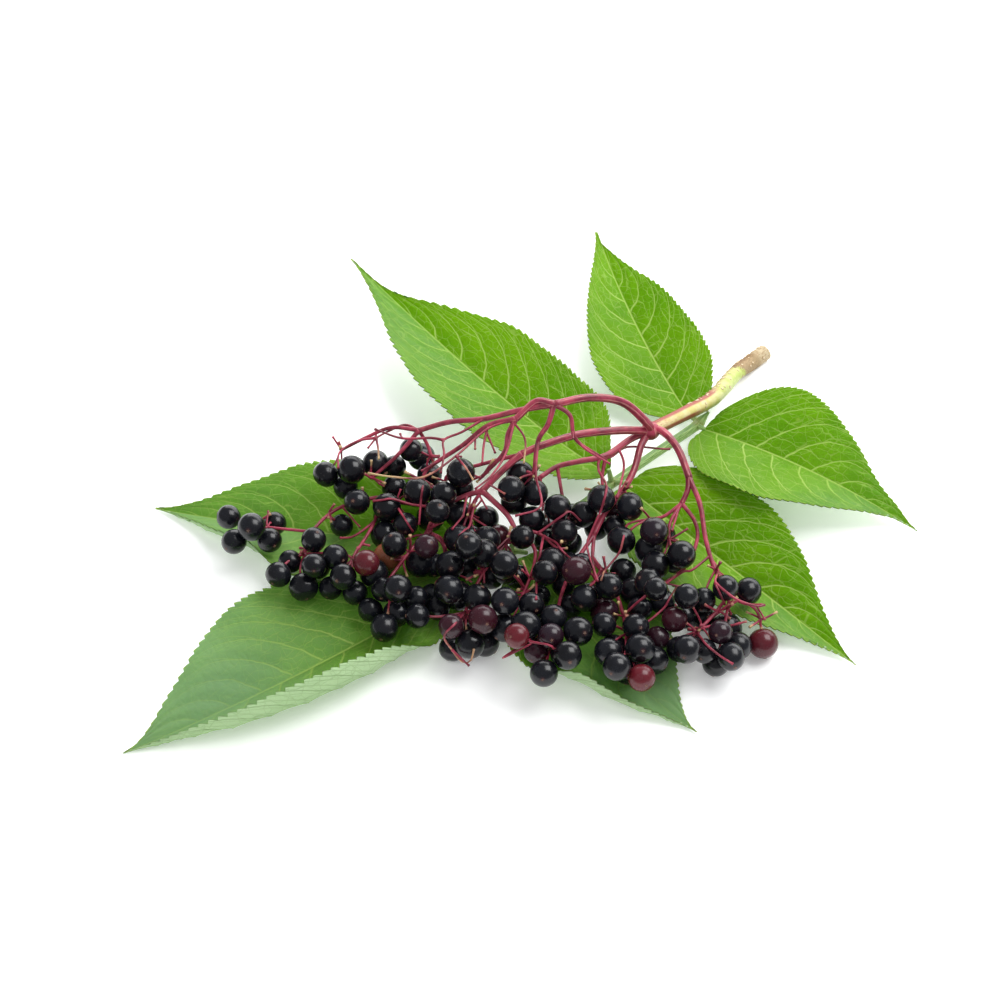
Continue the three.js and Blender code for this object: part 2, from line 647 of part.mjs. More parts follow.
// A berry with its own little stalk, closed from the tip of the branch to the scar. The little stalk has
// three sides, and the berry has two to each of those.
function berryOnStalk(berry) {
  const along = unit(subtract(berry.at, berry.tip));
  const neck = subtract(berry.at, scale(along, berry.radius));
  const points = [...ring(berry.tip, along, PEDICEL_RADIUS, 3), ...ring(neck, along, PEDICEL_RADIUS, 3)];
  for (const place of BERRY_RINGS) {
    const centre = add(berry.at, scale(along, berry.radius * place));
    const radius = berry.radius * BERRY_FULLNESS * Math.sqrt(1 - place * place);
    points.push(...ring(centre, along, radius, BERRY_SIDES));
  }
  const faces = [...lid(0, 3, true), ...band(0, 3, 3)];
  for (let k = 0; k < 3; k += 1) {
    const [a, b] = [3 + k, 3 + ((k + 1) % 3)];
    const [low, middle, high] = [6 + 2 * k, 7 + 2 * k, 6 + ((2 * k + 2) % BERRY_SIDES)];
    faces.push([a, b, middle], [b, high, middle], [a, middle, low]);
  }
  for (let i = 0; i < BERRY_RINGS.length - 1; i += 1) {
    faces.push(...band(6 + i * BERRY_SIDES, 6 + (i + 1) * BERRY_SIDES, BERRY_SIDES));
  }
  faces.push(...lid(6 + (BERRY_RINGS.length - 1) * BERRY_SIDES, BERRY_SIDES, false));
  return solid(points, faces);
}

// One ray: its stalks, and its berries on their own little stalks, grown together.
function ray(name, berries) {
  const pieces = RAYS[name].stalks.map((stalk) =>
    tube(through(stalk.route, 2), stalk.radii, stalk.radii[0] > 0.9 ? 5 : 4),
  );
  for (const berry of berries.filter((b) => b.ray === name)) {
    pieces.push(berryOnStalk(berry));
  }
  return wasm.Manifold.union(pieces);
}

// ---- The whole ------------------------------------------------------------------------------
const cluster = new THREE.Group();
cluster.name = "elderberry_cluster";
cluster.position.set(-MIDDLE[0], -MIDDLE[1], 0);
cluster.add(node("twig", twig(), COLOURS.bark, 0.7));
cluster.add(node("leaf_stalk", leafStalk(), COLOURS.leafStalk, 0.5));
for (const [name, leaflet] of Object.entries(LEAFLETS)) {
  cluster.add(node(name, blade(leaflet), COLOURS.leaf, 0.5));
}
const berries = placeBerries();
for (const name of Object.keys(RAYS)) {
  cluster.add(node(name, ray(name, berries), COLOURS.fruit, 0.35));
}

export default cluster;
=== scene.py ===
"""A fruiting head of black elder on its twig, lying on the leaf that grows from the same twig.

Places are in millimetres, with +Z up and the table at z = 0, or, in lists that say so, in pixels of the
camera's picture. Every mesh is in metres.
"""
import math

import bpy
import numpy as np
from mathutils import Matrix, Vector


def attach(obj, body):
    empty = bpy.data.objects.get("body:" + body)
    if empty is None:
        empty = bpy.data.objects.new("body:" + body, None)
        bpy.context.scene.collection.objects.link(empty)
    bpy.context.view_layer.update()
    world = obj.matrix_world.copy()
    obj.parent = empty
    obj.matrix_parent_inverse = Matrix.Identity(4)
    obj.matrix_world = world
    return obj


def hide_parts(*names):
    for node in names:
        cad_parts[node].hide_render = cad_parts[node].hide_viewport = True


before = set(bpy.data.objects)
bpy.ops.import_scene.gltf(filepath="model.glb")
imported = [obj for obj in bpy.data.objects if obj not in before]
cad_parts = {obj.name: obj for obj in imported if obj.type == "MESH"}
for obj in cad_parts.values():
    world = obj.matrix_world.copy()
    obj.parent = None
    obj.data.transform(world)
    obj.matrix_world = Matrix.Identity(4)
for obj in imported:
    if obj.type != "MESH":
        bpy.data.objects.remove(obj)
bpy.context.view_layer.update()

# ---- Driving dimensions, in millimetres ---------------------------------------------------------
BERRY_RADIUS = 3.15
BERRY_SPREAD = 0.4  # the most that one berry's radius differs from that
BERRY_SWELL = 0.15  # by which berries are larger than they are while they are placed, to lie closer
BERRY_GAP = 0.36  # left between berries, and from a berry to whatever doesn't carry it
PEDICEL_FELT = 0.5  # radius that a berry's own stalk is taken to have while the berries are placed
PEDICEL_SHARES = np.array([0.25, 0.5, 0.75])  # of its length, where it is felt
PEDICEL_RADIUS = 0.27
PEDICEL_SHORTEST = 4.8  # from the tip of a branch to a berry's centre
PEDICEL_LONGEST = 9.5
KNOB = 2.5  # radius of the knob where the five rays leave the twig
MIDDLE = (8.85, 15.5)  # of the whole, seen from above, in the coordinates used below
MM = 0.001

# The camera, which lists of places in its picture are read with too.
LOOK_AT = (0.0, 0.0, 10.0)
CAMERA_RISE = math.radians(46.0)  # above the table
CAMERA_AWAY = 600.0
LENS = 84.96
SENSOR = 36.0  # as wide and as high as the camera's picture
PICTURE = 1000.0  # pixels that its picture is wide and high
FOCAL = LENS / SENSOR * PICTURE  # from the eye to a picture of that size, in pixels
FORWARD = np.array([0.0, math.cos(CAMERA_RISE), -math.sin(CAMERA_RISE)])
UPWARD = np.array([0.0, math.sin(CAMERA_RISE), math.cos(CAMERA_RISE)])
RIGHTWARD = np.array([1.0, 0.0, 0.0])
EYE = np.array(LOOK_AT) - CAMERA_AWAY * FORWARD

# The twig and the stalk of its leaf: their radii at both ends, and their routes.
TWIG = ((2.2, 1.8), [(73, 64.5, 1.8), (68.5, 60, 1.8), (64, 53, 4.7), (56.5, 38, 9.5),
    (47.5, 26.5, 14.5), (38.5, 15.5, 19.5)])
LEAF_STALK = ((1.3, 1), [(55.5, 36, 6.4), (54, 35.5, 4.4), (51.5, 33.5, 3), (41, 24.5, 2.3),
    (30, 14.5, 1.9), (17, 2.5, 1.5), (4, -9, 1.2), (-1.2, -13.8, 1.2)])

# Each leaflet: the base, middle and tip of its midrib; the half-width of each side; how steeply each side
# rises at the base and at the tip, and how far its margin curls up, in degrees; the share of its length
# from which it curls; and the form of its outline. Sides are left, then right, as seen from the base
# looking to the tip.
LEAFLETS = {
    "leaflet_1_left": {
        "midrib": [(53.5, 32.5, 4), (80.5, 12.5, 8), (107.5, -2, 0.3)],
        "halves": (21, 18.5),
        "rise": ((10, 15), (3, 15)),
        "curl": (0, 0),
        "curl_from": 1,
        "outline": (0.42, 1.7, 1.8),
    },
    "leaflet_1_right": {
        "midrib": [(50.5, 38, 3.5), (37.5, 69, 8), (27.5, 106, 11)],
        "halves": (17.5, 15.5),
        "rise": ((4, 10), (2, 10)),
        "curl": (0, 0),
        "curl_from": 1,
        "outline": (0.45, 1.8, 1.9),
    },
    "leaflet_2_left": {
        "midrib": [(31.5, 12, 4), (61, -21, 4), (87, -47, 0.5)],
        "halves": (20.5, 18),
        "rise": ((4, 16), (0, 12)),
        "curl": (0, 0),
        "curl_from": 1,
        "outline": (0.42, 1.9, 1.8),
    },
    "leaflet_2_right": {
        "midrib": [(28.5, 14.5, 5), (-1, 40, 10), (-42.5, 93.5, 12)],
        "halves": (17.5, 19.5),
        "rise": ((6, 14), (4, 10)),
        "curl": (0, 0),
        "curl_from": 1,
        "outline": (0.7, 2.1, 1.7),
    },
    "leaflet_3_left": {
        "midrib": [(6, -12, 3.4), (27, -45, 1.6), (47, -67.5, 0.5)],
        "halves": (19, 21),
        "rise": ((0, 10), (0, 14)),
        "curl": (0, 70),
        "curl_from": 0.4,
        "outline": (0.6, 2.2, 2),
    },
    "leaflet_3_right": {
        "midrib": [(3, -10.5, 4.6), (-43, -5.5, 3.6), (-90, 6.5, 0.4)],
        "halves": (20, 21.5),
        "rise": ((0, 9), (2, 14)),
        "curl": (75, 0),
        "curl_from": 0.55,
        "outline": (0.55, 2.6, 1.8),
    },
    "leaflet_end": {
        "midrib": [(-2.6, -15.2, 1.5), (-45.5, -48.5, 2), (-89.5, -74, 0.5)],
        "halves": (19.5, 25),
        "rise": ((4, 24), (0, 12)),
        "curl": (80, 0),
        "curl_from": 0.28,
        "outline": (0.95, 2.8, 1.9),
    },
}

# The rays of the head: each stalk's radii at both ends and its route, and each head's number of berries,
# the tip of the branch that carries it, and the place where its berries heap up.
RAYS = {
    "ray_tall": {
        "stalks": [
            ((1.15, 0.95), [(37.5, 14.5, 23), (31, 15, 30), (22.5, 12.5, 34), (13.5, 9, 35)]),
            ((0.95, 0.85), [(13.5, 9, 35), (9, 10, 35), (4, 7, 32)]),
            ((0.8, 0.65), [(13.5, 9, 35), (5, 9, 33), (-4, 9, 30), (-12.5, 11, 27), (-20.5, 11, 24)]),
            ((0.75, 0.5), [(13.5, 9, 35), (12, 6, 31), (9.5, 3, 28), (8.5, -1.5, 21)]),
            ((0.6, 0.4), [(13.5, 9, 35), (17.5, 7, 33), (19, 3.5, 28), (26.5, 2.5, 22)]),
            ((0.75, 0.45), [(4, 7, 32), (-3, 6.5, 30), (-9.5, 4.5, 25), (-18, 2.5, 19),
                (-19.5, 0.5, 16.5)]),
            ((0.7, 0.45), [(4, 7, 32), (2, 4.5, 29), (1, 1, 26), (-4.5, -1.5, 20)]),
            ((0.55, 0.4), [(-20.5, 11, 24), (-27.5, 12, 24), (-34, 11.5, 21), (-40.5, 11, 17)]),
            ((0.6, 0.4), [(-20.5, 11, 24), (-26, 6, 20), (-32.5, 3, 15)]),
            ((0.5, 0.4), [(-20.5, 11, 24), (-18.5, 10, 20), (-17.5, 8, 18)]),
        ],
        "heads": [
            (4, (8.5, -1.5, 21), (6, -5, 18)),
            (3, (-19.5, 0.5, 16.5), (-17.5, -2.5, 13)),
            (2, (-4.5, -1.5, 20), (-9, -4, 18)),
            (2, (-40.5, 11, 17), (-42.5, 2.5, 11)),
            (3, (-32.5, 3, 15), (-27.5, 7, 12.5)),
            (2, (-17.5, 8, 18), (-19.5, 11, 15)),
        ],
    },
    "ray_left": {
        "stalks": [
            ((1.1, 0.9), [(35.5, 14, 21), (30, 12, 23), (20, 8.5, 25), (10.5, 4.5, 25),
                (5.5, 2.5, 24)]),
            ((0.9, 0.8), [(5.5, 2.5, 24), (2, 0.5, 22), (-4.5, -3.5, 17)]),
            ((0.7, 0.6), [(-4.5, -3.5, 17), (-9, -4.5, 16), (-16, -6.5, 14)]),
            ((0.55, 0.4), [(-16, -6.5, 14), (-26, -3, 12.5), (-31, -1, 12), (-41, -4.5, 11.5),
                (-47, -12.5, 11.5), (-48.5, -20, 11.5)]),
            ((0.4, 0.35), [(-47, -12.5, 11.5), (-55, -10.5, 10.5), (-62, -8.5, 9.5)]),
            ((0.45, 0.4), [(-31, -1, 12), (-31.5, -9.5, 12), (-36.5, -21.5, 11.5)]),
            ((0.55, 0.4), [(-16, -6.5, 14), (-18, -13, 12.5), (-22, -19, 12), (-27, -27.5, 11)]),
            ((0.45, 0.35), [(-18, -13, 12.5), (-14, -17.5, 11.5), (-14, -25.5, 10)]),
            ((0.75, 0.6), [(-4.5, -3.5, 17), (1.5, -9.5, 15), (4, -13.5, 13)]),
            ((0.5, 0.4), [(4, -13.5, 13), (1.5, -17, 12), (-4, -25, 10.5), (-8.5, -37, 9)]),
            ((0.5, 0.4), [(4, -13.5, 13), (8.5, -18.5, 12), (8, -25, 10.5), (5, -33.5, 9.5)]),
            ((0.5, 0.35), [(4, -13.5, 13), (9.5, -14, 12.5), (14.5, -18.5, 11.5)]),
            ((0.55, 0.4), [(5.5, 2.5, 24), (-3, 2.5, 21), (-12.5, 2.5, 17), (-14, 1.5, 15)]),
            ((0.5, 0.35), [(-4.5, -3.5, 17), (-6.5, -5.5, 15), (-8, -8, 13)]),
        ],
        "heads": [
            (5, (-48.5, -20, 11.5), (-44, -30.5, 9)),
            (3, (-62, -8.5, 9.5), (-63, -12, 8)),
            (5, (-36.5, -21.5, 11.5), (-34, -33.5, 8)),
            (6, (-27, -27.5, 11), (-24.5, -39.5, 7)),
            (4, (-14, -25.5, 10), (-14.5, -34.5, 6)),
            (6, (-8.5, -37, 9), (-6.5, -49.5, 5)),
            (5, (5, -33.5, 9.5), (5, -43, 5)),
            (4, (14.5, -18.5, 11.5), (15, -23.5, 8)),
            (3, (-14, 1.5, 15), (-15.5, -8.5, 10)),
            (4, (-8, -8, 13), (-3, -19, 8)),
            (4, (-26, -3, 12.5), (-27.5, -10, 10)),
            (2, (-18, -13, 12.5), (-18.5, -23, 8)),
            (3, (1.5, -17, 12), (0, -26, 7.5)),
        ],
    },
    "ray_middle": {
        "stalks": [
            ((0.95, 0.6), [(33.5, 13.5, 18.5), (27, 8, 18), (20.5, 6, 18), (14.5, 4.5, 17.5),
                (10, 1, 17)]),
            ((0.5, 0.4), [(10, 1, 17), (10.5, -2, 14), (11, -4.5, 12.5)]),
            ((0.55, 0.4), [(27, 8, 18), (26, 4, 15.5), (26, 0.5, 13)]),
            ((0.5, 0.4), [(14.5, 4.5, 17.5), (15.5, -0.5, 14), (16.5, -5, 11)]),
        ],
        "heads": [
            (4, (11, -4.5, 12.5), (14.5, -10.5, 10)),
            (3, (26, 0.5, 13), (22.5, -16, 8)),
            (3, (16.5, -5, 11), (9, -13, 6)),
        ],
    },
    "ray_front": {
        "stalks": [
            ((1, 0.65), [(36, 11.5, 18), (34, 4, 17), (31, -2, 15.5), (26.5, -7.5, 13.5),
                (23.5, -13.5, 11.5)]),
            ((0.5, 0.4), [(23.5, -13.5, 11.5), (23, -20, 10), (23.5, -26.5, 9)]),
            ((0.55, 0.4), [(23.5, -13.5, 11.5), (18.5, -22.5, 10.5), (15, -32, 9.5), (13, -43.5, 9)]),
            ((0.5, 0.4), [(23, -20, 10), (27, -27, 9.5), (29.5, -35, 9), (30.5, -44, 9)]),
        ],
        "heads": [
            (3, (31, -2, 15.5), (28.5, -7.5, 12)),
            (6, (23.5, -26.5, 9), (21.5, -38.5, 5.5)),
            (6, (13, -41.5, 9), (11.5, -54.5, 4.5)),
            (5, (30.5, -44, 9), (32, -54.5, 4.5)),
        ],
    },
    "ray_right": {
        "stalks": [
            ((1.05, 0.9), [(41, 14.5, 20.5), (43.5, 9.5, 22), (45.5, 5, 21.5), (47.5, -1, 19)]),
            ((0.75, 0.65), [(47.5, -1, 19), (47, -4, 17.5), (45.5, -7, 16)]),
            ((0.5, 0.4), [(45.5, -7, 16), (41, -10, 14.5), (37.5, -10, 13.5)]),
            ((0.5, 0.4), [(45.5, -7, 16), (42.5, -12, 14.5), (42, -16, 12.5)]),
            ((0.55, 0.4), [(45.5, -7, 16), (48.5, -11.5, 14.5), (49, -16.5, 13), (46, -24, 11.5),
                (40.5, -29, 10.5)]),
            ((0.7, 0.5), [(47.5, -1, 19), (50, -8, 16.5), (51, -17.5, 14), (53, -26, 12),
                (56.5, -31.5, 10.5)]),
            ((0.45, 0.35), [(56.5, -31.5, 10.5), (58, -34, 10), (61, -35, 9.5), (64, -35.5, 10)]),
            ((0.4, 0.35), [(61, -35, 9.5), (62.5, -36.5, 9), (63.5, -38.5, 8)]),
            ((0.45, 0.4), [(56.5, -31.5, 10.5), (52.5, -37.5, 9.5), (47.5, -43.5, 9)]),
            ((0.4, 0.35), [(56.5, -31.5, 10.5), (55.5, -36, 9.5), (54.5, -41.5, 9)]),
        ],
        "heads": [
            (4, (37.5, -10, 13.5), (37.5, -17, 9)),
            (3, (42, -16, 12.5), (42.5, -25.5, 8)),
            (5, (40.5, -29, 10.5), (36.5, -33.5, 7)),
            (3, (53, -26, 12), (49, -35.5, 8)),
            (1, (63.5, -38.5, 8), (61, -44, 4)),
            (5, (47.5, -43.5, 9), (42, -47, 5)),
            (5, (54.5, -41.5, 9), (52, -50.5, 4.5)),
        ],
    },
}

# The rest of the berries, which the solid part leaves out, by where the camera's picture shows them, in
# pixels from its left and from its top.
MORE = [
    (228, 517), (274, 524), (342, 526), (313, 544), (295, 563), (357, 502), (427, 546), (487, 520),
    (522, 537), (483, 553), (466, 576), (450, 571), (388, 567), (385, 628), (417, 617), (622, 573),
    (686, 596), (545, 673), (641, 677), (729, 622), (604, 632), (632, 634), (546, 572), (516, 636),
    (430, 475), (478, 597), (568, 655), (505, 565), (700, 617), (655, 590), (530, 600), (437, 510),
    (395, 545), (620, 668), (352, 470), (470, 545),
]

# Stalks that have lost their berries, each from where it leaves another one, in such pixels too.
BARE = [
    ("twiglet", (419, 430), (405, 425), (389, 431), (376, 438)),
    ("twiglet", (376, 438), (358, 441), (340, 452), (338, 468)),
    ("stub", (376, 438), (376, 429)),
    ("stub", (376, 438), (368, 448)),
    ("dry", (376, 438), (378, 448), (379, 459)),
    ("twiglet", (484, 421), (462, 432), (444, 440), (444, 454), (441, 473)),
    ("twiglet", (444, 440), (431, 438), (402, 438), (375, 429)),
    ("stub", (402, 438), (400, 434)),
    ("twiglet", (486, 426), (484, 444), (482, 463)),
    ("stub", (478, 436), (475, 449)),
    ("twiglet", (489, 432), (495, 453)),
    ("dry", (514, 419), (486, 430), (456, 456), (424, 477), (393, 477), (368, 473)),
    ("dry", (456, 457), (466, 468), (473, 480)),
    ("stub", (456, 457), (462, 457)),
    ("stub", (438, 459), (421, 471)),
    ("twiglet", (514, 422), (506, 453), (492, 475), (475, 489)),
    ("dry", (515, 424), (525, 439), (524, 463)),
    ("twiglet", (538, 440), (536, 475), (541, 506), (515, 516)),
    ("twiglet", (435, 508), (410, 504), (392, 499), (373, 501)),
    ("twiglet", (424, 477), (421, 500), (419, 525)),
    ("twiglet", (435, 508), (430, 532), (414, 536), (394, 545), (376, 551)),
    ("twiglet", (430, 532), (441, 538), (448, 554)),
    ("stub", (344, 510), (360, 527)),
    ("twiglet", (374, 522), (354, 536), (340, 538)),
    ("twiglet", (355, 540), (370, 546), (379, 558)),
    ("twiglet", (393, 505), (404, 518), (413, 532)),
    ("twiglet", (468, 496), (463, 516)),
    ("twiglet", (478, 502), (470, 525), (459, 536)),
    ("stub", (465, 517), (452, 529)),
    ("stub", (480, 496), (487, 509)),
    ("stub", (491, 487), (505, 494)),
    ("twiglet", (515, 530), (500, 546), (484, 560), (461, 566)),
    ("twiglet", (486, 560), (484, 583)),
    ("stub", (461, 576), (472, 582)),
    ("twiglet", (539, 542), (537, 570), (536, 599)),
    ("twiglet", (539, 542), (555, 542), (566, 555)),
    ("twiglet", (465, 606), (474, 596), (486, 594), (497, 599), (504, 609)),
    ("twiglet", (598, 459), (611, 457), (628, 447), (663, 449), (670, 449)),
    ("twiglet", (618, 450), (624, 466), (617, 498)),
    ("stub", (569, 431), (573, 439)),
    ("twiglet", (575, 446), (587, 450), (610, 464)),
    ("twiglet", (600, 457), (598, 469), (605, 482), (607, 489), (601, 510), (592, 531), (587, 547),
        (598, 581)),
    ("dry", (628, 524), (619, 553), (605, 570), (601, 581)),
    ("twiglet", (681, 510), (672, 531)),
    ("twiglet", (706, 558), (718, 570), (715, 583), (725, 604)),
    ("twiglet", (718, 583), (736, 599), (757, 606), (765, 605)),
    ("stub", (757, 607), (765, 620)),
    ("twiglet", (736, 601), (706, 622), (697, 636)),
    ("twiglet", (706, 559), (692, 570), (683, 572), (663, 586)),
    ("twiglet", (640, 627), (663, 609), (676, 588)),
    ("dry", (444, 636), (452, 650), (461, 661), (470, 662), (474, 649)),
    ("stub", (461, 661), (469, 666)),
    ("twiglet", (528, 640), (549, 645), (558, 652), (562, 662)),
    ("stub", (503, 658), (516, 649)),
    ("twiglet", (542, 529), (562, 516), (570, 512), (581, 521)),
    ("twiglet", (696, 631), (707, 645), (720, 656), (733, 664)),
]

# Berries that aren't ripe, by the pixel that each shows nearest to: 0 is orange-brown, 1 is black.
UNRIPE = {
    (428, 547): 0.62, (444, 623): 0.66, (536, 652): 0.66, (588, 574): 0.6, (617, 507): 0.68,
    (652, 526): 0.78, (661, 648): 0.7, (730, 624): 0.66, (611, 605): 0.62, (551, 641): 0.7,
    (500, 538): 0.5, (493, 615): 0.58, (662, 623): 0.58, (367, 557): 0.4, (752, 645): 0.33,
    (642, 677): 0.28, (516, 636): 0.3, (388, 568): 0.03,
}

# ---- Curves and placing -------------------------------------------------------------------------


def ease(x):
    """0 below 0, 1 above 1 and a smooth step between them."""
    t = np.clip(x, 0.0, 1.0)
    return t * t * (3.0 - 2.0 * t)


def mix(a, b, t):
    return a + (b - a) * t


def unit(v):
    return v / np.linalg.norm(v, axis=-1, keepdims=True)


def place(points):
    """Millimetres of the lists above, as metres in the part's own frame."""
    return (np.asarray(points, float) - (*MIDDLE, 0.0)) * MM


def sight(pixels):
    """From the camera through places of its picture, by the same length straight ahead."""
    aside = (np.asarray(pixels, float) - PICTURE / 2) / FOCAL
    return FORWARD + aside[..., :1] * RIGHTWARD - aside[..., 1:] * UPWARD


def seen_at(pixels, height):
    """The points at this height that the camera shows at these places of its picture."""
    way = sight(pixels)
    return EYE + way * ((height - EYE[2]) / way[..., 2])[..., None]


def shown(points):
    """Where the camera's picture shows the points, in pixels from its left and from its top."""
    line = np.asarray(points, float) - EYE
    aside = np.stack([line @ RIGHTWARD, -(line @ UPWARD)], axis=-1) / (line @ FORWARD)[..., None]
    return PICTURE / 2 + FOCAL * aside


def distances(points, others):
    """From each of the points to each of the others."""
    return np.linalg.norm(np.asarray(points, float)[..., None, :] - others, axis=-1)


def through(points, steps):
    """A Catmull-Rom line through the points, with this many steps between two of them. Past each end it
    goes on as far as the next point lies on the other side."""
    points = np.asarray(points, float)
    padded = np.vstack([2 * points[0] - points[1], points, 2 * points[-1] - points[-2]])
    t = (np.arange(1, steps + 1) / steps)[None, :, None]
    p0, p1, p2, p3 = (padded[k : len(points) - 1 + k, None] for k in range(4))
    bend = 2 * p0 - 5 * p1 + 4 * p2 - p3
    twist = 3 * p1 - p0 - 3 * p2 + p3
    line = 0.5 * (2 * p1 + (p2 - p0) * t + bend * t * t + twist * t * t * t)
    return np.vstack([points[:1], line.reshape(-1, 3)])


def even(line, count):
    """The line again, as this many points an equal way apart along it."""
    reach = np.concatenate([[0.0], np.cumsum(np.linalg.norm(np.diff(line, axis=0), axis=1))])
    wanted = np.linspace(0.0, reach[-1], count)
    return np.stack([np.interp(wanted, reach, line[:, a]) for a in range(3)], axis=1)


def courses(lines):
    """For lines of shape (n, stations, 3): the direction at each station and two directions square to it,
    carried along the line with as little turning as the line allows."""
    along = np.gradient(lines, axis=1)
    along = unit(along)
    up = np.where(np.abs(along[:, :1, 2:]) > 0.9, [0.0, 1.0, 0.0], [0.0, 0.0, 1.0])
    side = unit(np.cross(up[:, 0], along[:, 0]))
    sides = [side]
    for k in range(1, lines.shape[1]):
        carried = side - (side * along[:, k]).sum(-1, keepdims=True) * along[:, k]
        side = unit(carried)
        sides.append(side)
    sides = np.stack(sides, axis=1)
    return along, sides, np.cross(along, sides)


# ---- Meshes -------------------------------------------------------------------------------------


def tube_faces(rings, sides):
    """Faces of rings joined in order, each closed on itself, with a fan to a point at both ends."""
    i, j = np.meshgrid(np.arange(rings - 1), np.arange(sides), indexing="ij")
    n = (j + 1) % sides
    quads = np.stack([i * sides + j, i * sides + n, (i + 1) * sides + n, (i + 1) * sides + j], -1)
    k = np.arange(sides)
    last = (rings - 1) * sides
    first_pole = rings * sides
    start = np.stack([np.full(sides, first_pole), (k + 1) % sides, k], -1)
    end = np.stack([np.full(sides, first_pole + 1), last + k, last + (k + 1) % sides], -1)
    return quads.reshape(-1, 4), np.vstack([start, end])


def tubes(points, values):
    """Closed tubes from rings of shape (n, rings, sides, 3). values gives, by name, what each ring point
    carries, of shape (n, rings, sides) or with three numbers each. A pole is the middle of its ring."""
    count, rings, sides = points.shape[:3]
    each = rings * sides + 2

    def flat(array):
        tail = array.shape[3:]
        poles = array[:, [0, -1]].mean(axis=2)
        joined = np.concatenate([array.reshape(count, rings * sides, *tail), poles], axis=1)
        return joined.reshape(count * each, *tail)

    quads, triangles = tube_faces(rings, sides)
    shift = (np.arange(count) * each)[:, None, None]
    return (
        flat(points),
        (quads[None] + shift).reshape(-1, 4),
        (triangles[None] + shift).reshape(-1, 3),
        {name: flat(array) for name, array in values.items()},
    )


def sheet(upper, lower, values_upper, values_lower):
    """A closed thin blade from two grids of shape (rows, columns, 3), with a rim between them."""
    rows, columns = upper.shape[:2]
    under = rows * columns
    i, j = np.meshgrid(np.arange(rows - 1), np.arange(columns - 1), indexing="ij")
    a = i * columns + j
    quads = np.stack([a, a + columns, a + columns + 1, a + 1], -1).reshape(-1, 4)
    k = np.arange(rows - 1) * columns
    m = np.arange(columns - 1)
    last = (rows - 1) * columns
    right = np.stack([k + columns, k, k + under, k + columns + under], -1)
    k = k + columns - 1
    left = np.stack([k, k + columns, k + columns + under, k + under], -1)
    base = np.stack([m, m + 1, m + 1 + under, m + under], -1)
    tip = np.stack([last + m + 1, last + m, last + m + under, last + m + 1 + under], -1)
    faces = np.vstack([quads, quads[:, ::-1] + under, right, left, base, tip])
    points = np.vstack([upper.reshape(-1, 3), lower.reshape(-1, 3)])
    values = {
        name: np.concatenate([array.reshape(under, -1), values_lower[name].reshape(under, -1)])
        for name, array in values_upper.items()
    }
    return points, faces, np.zeros((0, 3), int), values


def piece(name, surfaces, material, slot, *nodes):
    """One object from closed surfaces in millimetres, which stands for the named nodes."""
    points, faces = [], []
    values = {key: [] for key in surfaces[0][3]}
    start = 0
    for vertices, quads, triangles, carried in surfaces:
        points.append(vertices)
        faces += (quads + start).tolist() + (triangles + start).tolist()
        for key in values:
            values[key].append(carried[key].reshape(len(vertices), -1))
        start += len(vertices)
    mesh = bpy.data.meshes.new(name)
    mesh.from_pydata(place(np.vstack(points)), [], faces)
    for key, arrays in values.items():
        array = np.vstack(arrays)
        kind = "FLOAT" if array.shape[1] == 1 else "FLOAT_VECTOR"
        field = "value" if kind == "FLOAT" else "vector"
        mesh.attributes.new(key, kind, "POINT").data.foreach_set(field, array.ravel().astype(np.float32))
    mesh.polygons.foreach_set("use_smooth", np.ones(len(faces), bool))
    mesh.materials.append(material)
    mesh.update()
    made = bpy.data.objects.new(name, mesh)
    bpy.context.scene.collection.objects.link(made)
    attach(made, "root")
    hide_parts(*nodes)
    return made


# ---- Materials ----------------------------------------------------------------------------------


